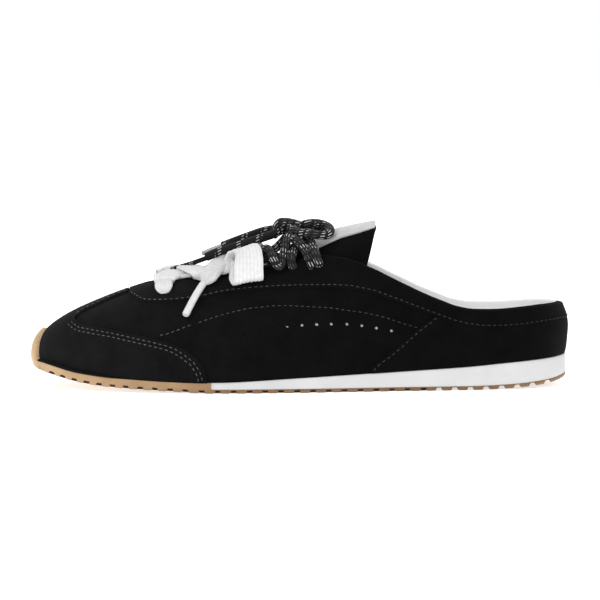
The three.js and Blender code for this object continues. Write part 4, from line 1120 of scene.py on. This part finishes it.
def slabGrid(turns, levels, front=soleFront, back=soleBack, rib=None):  # section loops along the sole
    loops = []
    for side in (-1.0, 1.0):
        rows = []
        for inset, height in levels:
            x, y = outline(side * np.clip(turns, 1e-7, np.pi - 1e-7), inset, front, back)
            rows.append(np.stack([x, side * np.abs(y), height(x)], -1))
        loops.append(np.stack(rows, 1))
    left, right = loops[0], loops[1][:, ::-1]
    s = np.array([0.03, 0.035, 0.1, 0.105, 0.3, 0.5, 0.7, 0.895, 0.9, 0.965, 0.97])
    middle = left[:, -1:] + (right[:, :1] - left[:, -1:]) * s[None, :, None]
    middle[..., 2] = levels[-1][1](middle[..., 0])
    if rib:
        rim = [1, 2, 8, 9]
        middle[:, rim, 2] = rib(middle[:, rim, 0])
    top = right[:, -1:] + (left[:, :1] - right[:, -1:]) * s[::2][None, :, None]
    return np.concatenate([left, middle, right, top], 1)


def raised(height, by):
    return lambda x: height(x) + by


def between(low, high, share):
    return lambda x: low(x) + (high(x) - low(x)) * share


def addSole():
    stations = [middle + offset for middle in grooves for offset in cutMarks]
    step = float(turnAt(xOf(size["wedgeFront"])))
    wedge, bandFoot = raised(treadZ, size["tread"]), raised(treadZ, treadShape["depth"] + 0.15)
    rib = lambda x: treadZ(x) + 0.05 + grooveDepth(x) * np.clip((x - treadShape["openFrom"]) / 6, 0, 1)

    def levels(top, turns):
        foot = [(inset, lambda x, least=least: treadZ(x) + np.maximum(least, grooveDepth(x)))
                for inset, least in ((0.02, 0.75), (0.25, 0.3), (0.8, 0))]
        soft = np.clip((turns - treadShape["toeTurn"]) / 0.12, 0, 1)  # no rounding under the toe bumper
        return [(0.45 * soft, top), (0.13 * soft, raised(top, -0.1))] + [
            (0.0, between(bandFoot, raised(top, -0.35), k)) for k in (1, 0.75, 0.5, 0.25, 0)] + foot

    fore, aft = soleTurns(0, step, stations), soleTurns(step, np.pi, stations)
    whole = np.concatenate([
        slabGrid(fore, levels(bandTop, fore), rib=rib), slabGrid(aft, levels(wedge, aft), rib=rib)])
    sole = addPiece("gumOutsole", [(whole, {"closeColumns": True})], "gum", ("outsole",), weld=0.001)
    paintPocketShade(sole.data)
    low = raised(wedge, 0.04)
    sides = [(0.9, bandTop), (0.35, raised(bandTop, -0.12)), (0.1, raised(bandTop, -0.45))]
    sides += [(0.0, between(low, bandTop, k)) for k in (0.8, 0.6, 0.4, 0.2)]
    sides += [(0.1, raised(low, 0.15)), (0.5, low)]
    wall = slabGrid(soleTurns(step + 1e-4, np.pi, []), sides)
    grid = np.concatenate([wall[:1] * np.array([1, 0, 1.0]), wall])
    addPiece("midsoleWedge", [(grid, {"closeColumns": True})], "foam", ("midsole",), weld=0.001)


def paintPocketShade(mesh):  # painted shade: the faces inside the grooves, near the sole's edge, take a dark brown that stands for the shade in the pockets
    mesh.materials.append(looks["groove"])
    centres = np.array([face.center for face in mesh.polygons]) / mm
    x, over = centres[:, 0], centres[:, 2] - treadZ(centres[:, 0])
    inside = (grooveDepth(x) > 0.5) & (over > 0.1) & (over < treadShape["depth"] + 0.05) & (x > xOf(0.03))
    rim = np.stack(outline(np.linspace(-np.pi, np.pi, 2400), 0), -1)
    for k in np.flatnonzero(inside):
        if 0.1 < np.hypot(*(rim - centres[k, :2]).T).min() < treadShape["pocket"]:
            mesh.polygons[int(k)].material_index = 1


addSole()

bumper = {
    "spread": 0.18, "rise": 0.62, "flare": 0.06, "width": 0.145, "rim": 1.5, "proud": 0.7, "side": 0.14,
    "soft": 6, "belly": 0.16, "foot": (1, 0.8, 0.6, 0.4, 0.2),
}


def addBumper():
    w = np.linspace(-1, 1, 120) * bumper["spread"]
    place = np.abs(w) / bumper["width"]
    end = bumper["rise"] * np.maximum(0, 1 - place ** 2.4) + 0.004 + bumper["flare"] * bell(place)
    t = end[:, None] * crowded(24)[None]
    points, normals = lastAt(w[:, None], t), normalAt(w[:, None], t)
    distance = np.sqrt(((points[:, :, None] - lastAt(w, end)[None, None]) ** 2).sum(-1)).min(2)
    side = bell(w / bumper["side"])
    out = bumper["proud"] * side - 0.12 * (1 - side)
    outward = unit(normals[:, 0] * groundPlan)
    ledge = ((np.array(outline(w, 0)).T - points[:, 0, :2]) * outward[:, :2]).sum(1) + out
    under = size["overlay"] + size["gap"] - 0.25
    s = t / bumper["rise"]
    bulge = 1 + bell(w / bumper["belly"])[:, None] * (0.16 * np.sin(np.pi * s ** 0.7) - 0.45 * s)
    proud = np.maximum(0, ledge - under)[:, None] * bulge
    thick = np.minimum(under, ledge)[:, None] + proud * rounded(distance / bumper["rim"])
    outer = points + normals * thick[..., None]
    outer[:, 0] = points[:, 0] + outward * ledge[:, None]
    low, high = treadZ(outline(w, 0)[0]) + 0.9, outer[:, 0, 2]
    foot = []
    for k in bumper["foot"]:  # down over the front of the gum band
        foot.append(np.stack([*outline(w, -out * (1 - k * k)), high + (low - high) * k], -1))
    grid = np.concatenate([np.stack(foot, 1), outer], 1)
    for _ in range(bumper["soft"]):  # ease the turn from the band to the bumper
        grid[:, 1:14] = (grid[:, :13] + 2 * grid[:, 1:14] + grid[:, 2:15]) / 4
    addPiece("toeBumper", [(grid, {"flip": True})], "gum")


addBumper()


def addInsole():
    inset = size["ledge"] + size["wall"] + 0.3
    levels = [(inset + k, raised(bandTop, 0.3 + lift)) for k, lift in (
        (1.0, size["insole"]), (0.3, size["insole"] - 0.4), (0.0, size["insole"] - 1.1), (0.0, 0))]
    grid = slabGrid(np.linspace(0, np.pi, 120), levels, upperFront - size["ledge"], upperBack + size["ledge"])
    addPiece("insoleCloth", [(grid, {"closeColumns": True})], "lining", ("insole",), weld=0.001)


addInsole()
print("sole made")

# tongue
tongue = {
    "front": 0.183, "tip": 0.638, "set": 0.044, "tuck": 0.15, "flare": 1.0, "flatten": 1.05, "free": 0.52,
    "swell": 2.6, "swellAt": 0.475, "swellLong": 0.055, "facingFront": 0.525, "facing": (0.36, 0.3),
}


def tonguePoints(reach, start, rows, columns, depth):
    k, w = np.linspace(0, 1, rows)[:, None], np.ones((rows, 1)) * np.linspace(-1, 1, columns)[None]
    reach = np.interp(k, [0.3, 1], reach)
    end = tongue["tip"] - tongue["set"] * (reach * w) ** 2
    crown = start + (end - start) * k
    turn = np.where(w < 0, -1.0, 1.0) * turnOfCrown(crown)
    edge = wallEnd(turn)
    t = 1 - np.abs(w) * reach * (1 - edge + tongue["tuck"])
    free = np.clip((t - edge) / (1 - edge + 1e-6), 0, 1)
    rise = np.maximum(0, (crown - tongue["free"]) / (tongue["tip"] - tongue["free"]))
    drop = lastAt(turn, 0 * t + 1)[..., 2] - lastAt(turn, t)[..., 2]
    lift = (tongue["flare"] + tongue["flatten"] * drop) * rise * rise
    lift = lift + tongue["swell"] * bell((crown - tongue["swellAt"]) / tongue["swellLong"])
    points = onUpper(turn, t, -depth * np.ones_like(t))
    points[..., 2] += lift * free * free * (3 - 2 * free)
    return points


def edgeStrip(outer, inner, bulge):  # a round edge between two faces

    def ringOf(grid):
        return np.concatenate([grid[0, :-1], grid[:-1, -1], grid[-1, :0:-1], grid[:0:-1, 0]])

    top, low = ringOf(outer), ringOf(inner)
    middle = (top + low) / 2
    away = unit(np.cross(np.roll(middle, 1, 0) - np.roll(middle, -1, 0), top - low))
    away *= np.sign((away * (middle - outer.reshape(-1, 3).mean(0))).sum(-1, keepdims=True))
    return np.stack([middle + (top - low) / 2 * math.cos(a) + away * math.sin(a) * bulge
                     for a in np.linspace(0, np.pi, 7)], 1)


def addPad(name, shape, depth, thick, bulge, look, node):
    outer, inner = (tonguePoints(*shape, over) for over in (depth, depth + thick))
    grids = [(outer, {}), (inner, {"flip": True}), (edgeStrip(outer, inner, bulge), {"closeRows": True})]
    addPiece(name, grids, look, (node,), weld=0.01)


tongueDepth = size["wall"] + size["tongueGap"]
addPad("tongueSuede", ((1, 1), tongue["front"], 110, 48), tongueDepth, size["tongue"], 0.7, "suede", "tongue")
addPad("tongueLeather", (tongue["facing"], tongue["facingFront"], 34, 26), tongueDepth - size["facing"] - 0.1,
       size["facing"], 0.6, "facing", "tongue_facing")
print("tongue made")

# stitches
stitch = {"pitch": 2.8, "long": 1.65, "wide": 0.5, "high": 0.36}


def stitchRow(w, t, lift):  # places along a seam, the way ahead and the way up at each
    points, normals = onUpper(w, t, lift + creaseAt(lastAt(w, t))), normalAt(w, t)
    run = runOf(points)
    count = int(run[-1] / stitch["pitch"])
    marks = (np.arange(count) + 0.5) * run[-1] / count
    ahead = unit(readAt(points, run, marks + 0.3) - readAt(points, run, marks - 0.3))
    return readAt(points, run, marks), ahead, unit(readAt(normals, run, marks))


def capsules(rows):
    places, ahead, up = (np.concatenate([row[k] for row in rows]) for k in range(3))
    side = unit(np.cross(up, ahead))
    up = np.cross(ahead, side)
    rings = []
    for along, fat in ((-0.5, 0.25), (-0.4, 0.75), (-0.15, 1), (0.15, 1), (0.4, 0.75), (0.5, 0.25)):
        rings.append(np.stack([
            places + ahead * along * stitch["long"]
            + (side * math.cos(a) * stitch["wide"] + up * math.sin(a) * stitch["high"]) * fat / 2
            for a in np.linspace(0, 2 * np.pi, 7)[:-1]], 1))
    return np.stack(rings, 1)


def offsetRow(line, distance):  # the row moved over the surface by a distance
    w, t = line
    points, normals = lastAt(w, t), normalAt(w, t)
    side = np.cross(normals, unit(np.gradient(points, axis=0)))
    return solved(w, t, points + side * distance, 4)


quarterLine = (
    (-69.1, 27.9), (-65.9, 28.4), (-59.7, 30.7), (-55.3, 32.5), (-48.4, 34.5), (-40.3, 37.2), (-34.6, 38.7),
    (-26.5, 40.5), (-22.2, 41.1), (-13.4, 42), (-4.7, 42.1), (4.7, 41.6), (15.4, 41), (22.4, 39.9), (29.9, 38.8),
    (36.8, 37.4), (42.4, 35.9), (48.6, 33.7), (53.6, 32.1), (58, 30.8),
)


def addStitches():
    over = size["overlay"] + size["gap"] - 0.05
    rows = []
    for side in (-1.0, 1.0):
        w, t = seams[side]["counter"]
        part = slice(0, int((shareOf(lastAt(w, t)[:, 0]) < 0.75).sum()))
        seams[side]["counter"] = w[part], t[part]
        for name, distance, lift in (
                ("band", -1.0, over), ("guard", 2.2, over), ("guard", 4.1, over), ("strip", -1.5, over),
                ("counter", 1.2, over - 0.25)):
            rows.append(stitchRow(*offsetRow(seams[side][name], distance * side), lift))
        rows.append(stitchRow(*fromSide(side, quarterLine), 0.05))
    grids = [(shape, {"closeColumns": True, "flip": True}) for shape in capsules(rows)]
    addPiece("stitches", grids, "thread", weld=0)


addStitches()
print("stitches sewn")

# floor and light
stage = {
    "world": 0.86, "floorGlow": 0.65, "floor": ((-40, -20, 0), (40, -20, 0), (40, 60, 0), (-40, 60, 0)),
    "lights": (
        ("keyLight", (-0.9, -1.3, 1.5), (0, 0, 0.03), 1.3, 9),
        ("fillLight", (1.3, -0.9, 0.9), (0, 0, 0.03), 1.2, 3),
        ("backLight", (0.2, 1.4, 1.2), (0, 0, 0.05), 1.2, 6),
    ),
}


def addStage():
    mesh = bpy.data.meshes.new("floor")
    mesh.from_pydata(stage["floor"], [], [(0, 1, 2, 3)])
    floor = placed("floor", mesh)
    mesh.materials.append(startLook("paleFloor", (0.9, 0.9, 0.9), 0.9, 0.1))
    feed(bench["shader"]["Emission Color"], (1, 1, 1))
    feed(bench["shader"]["Emission Strength"], stage["floorGlow"])
    world = bpy.data.worlds.new("studio")
    bpy.context.scene.world = world
    world.use_nodes = True
    tree = world.node_tree
    seen, soft = tree.nodes["Background"], tree.nodes.new("ShaderNodeBackground")
    seen.inputs["Color"].default_value = soft.inputs["Color"].default_value = (1, 1, 1, 1)
    seen.inputs["Strength"].default_value, soft.inputs["Strength"].default_value = 1.0, stage["world"]
    path, mix = tree.nodes.new("ShaderNodeLightPath"), tree.nodes.new("ShaderNodeMixShader")
    tree.links.new(path.outputs["Is Camera Ray"], mix.inputs[0])
    tree.links.new(soft.outputs[0], mix.inputs[1])
    tree.links.new(seen.outputs[0], mix.inputs[2])
    tree.links.new(mix.outputs[0], tree.nodes["World Output"].inputs["Surface"])
    for name, place, aim, wide, power in stage["lights"]:
        data = bpy.data.lights.new(name, "AREA")
        data.shape, data.size, data.energy = "DISK", wide, power
        light = placed(name, data)
        light.location = place
        light.rotation_euler = (Vector(aim) - Vector(place)).to_track_quat("-Z", "Y").to_euler()


addStage()
bpy.context.scene.view_settings.view_transform = "Standard"
print("stage set")
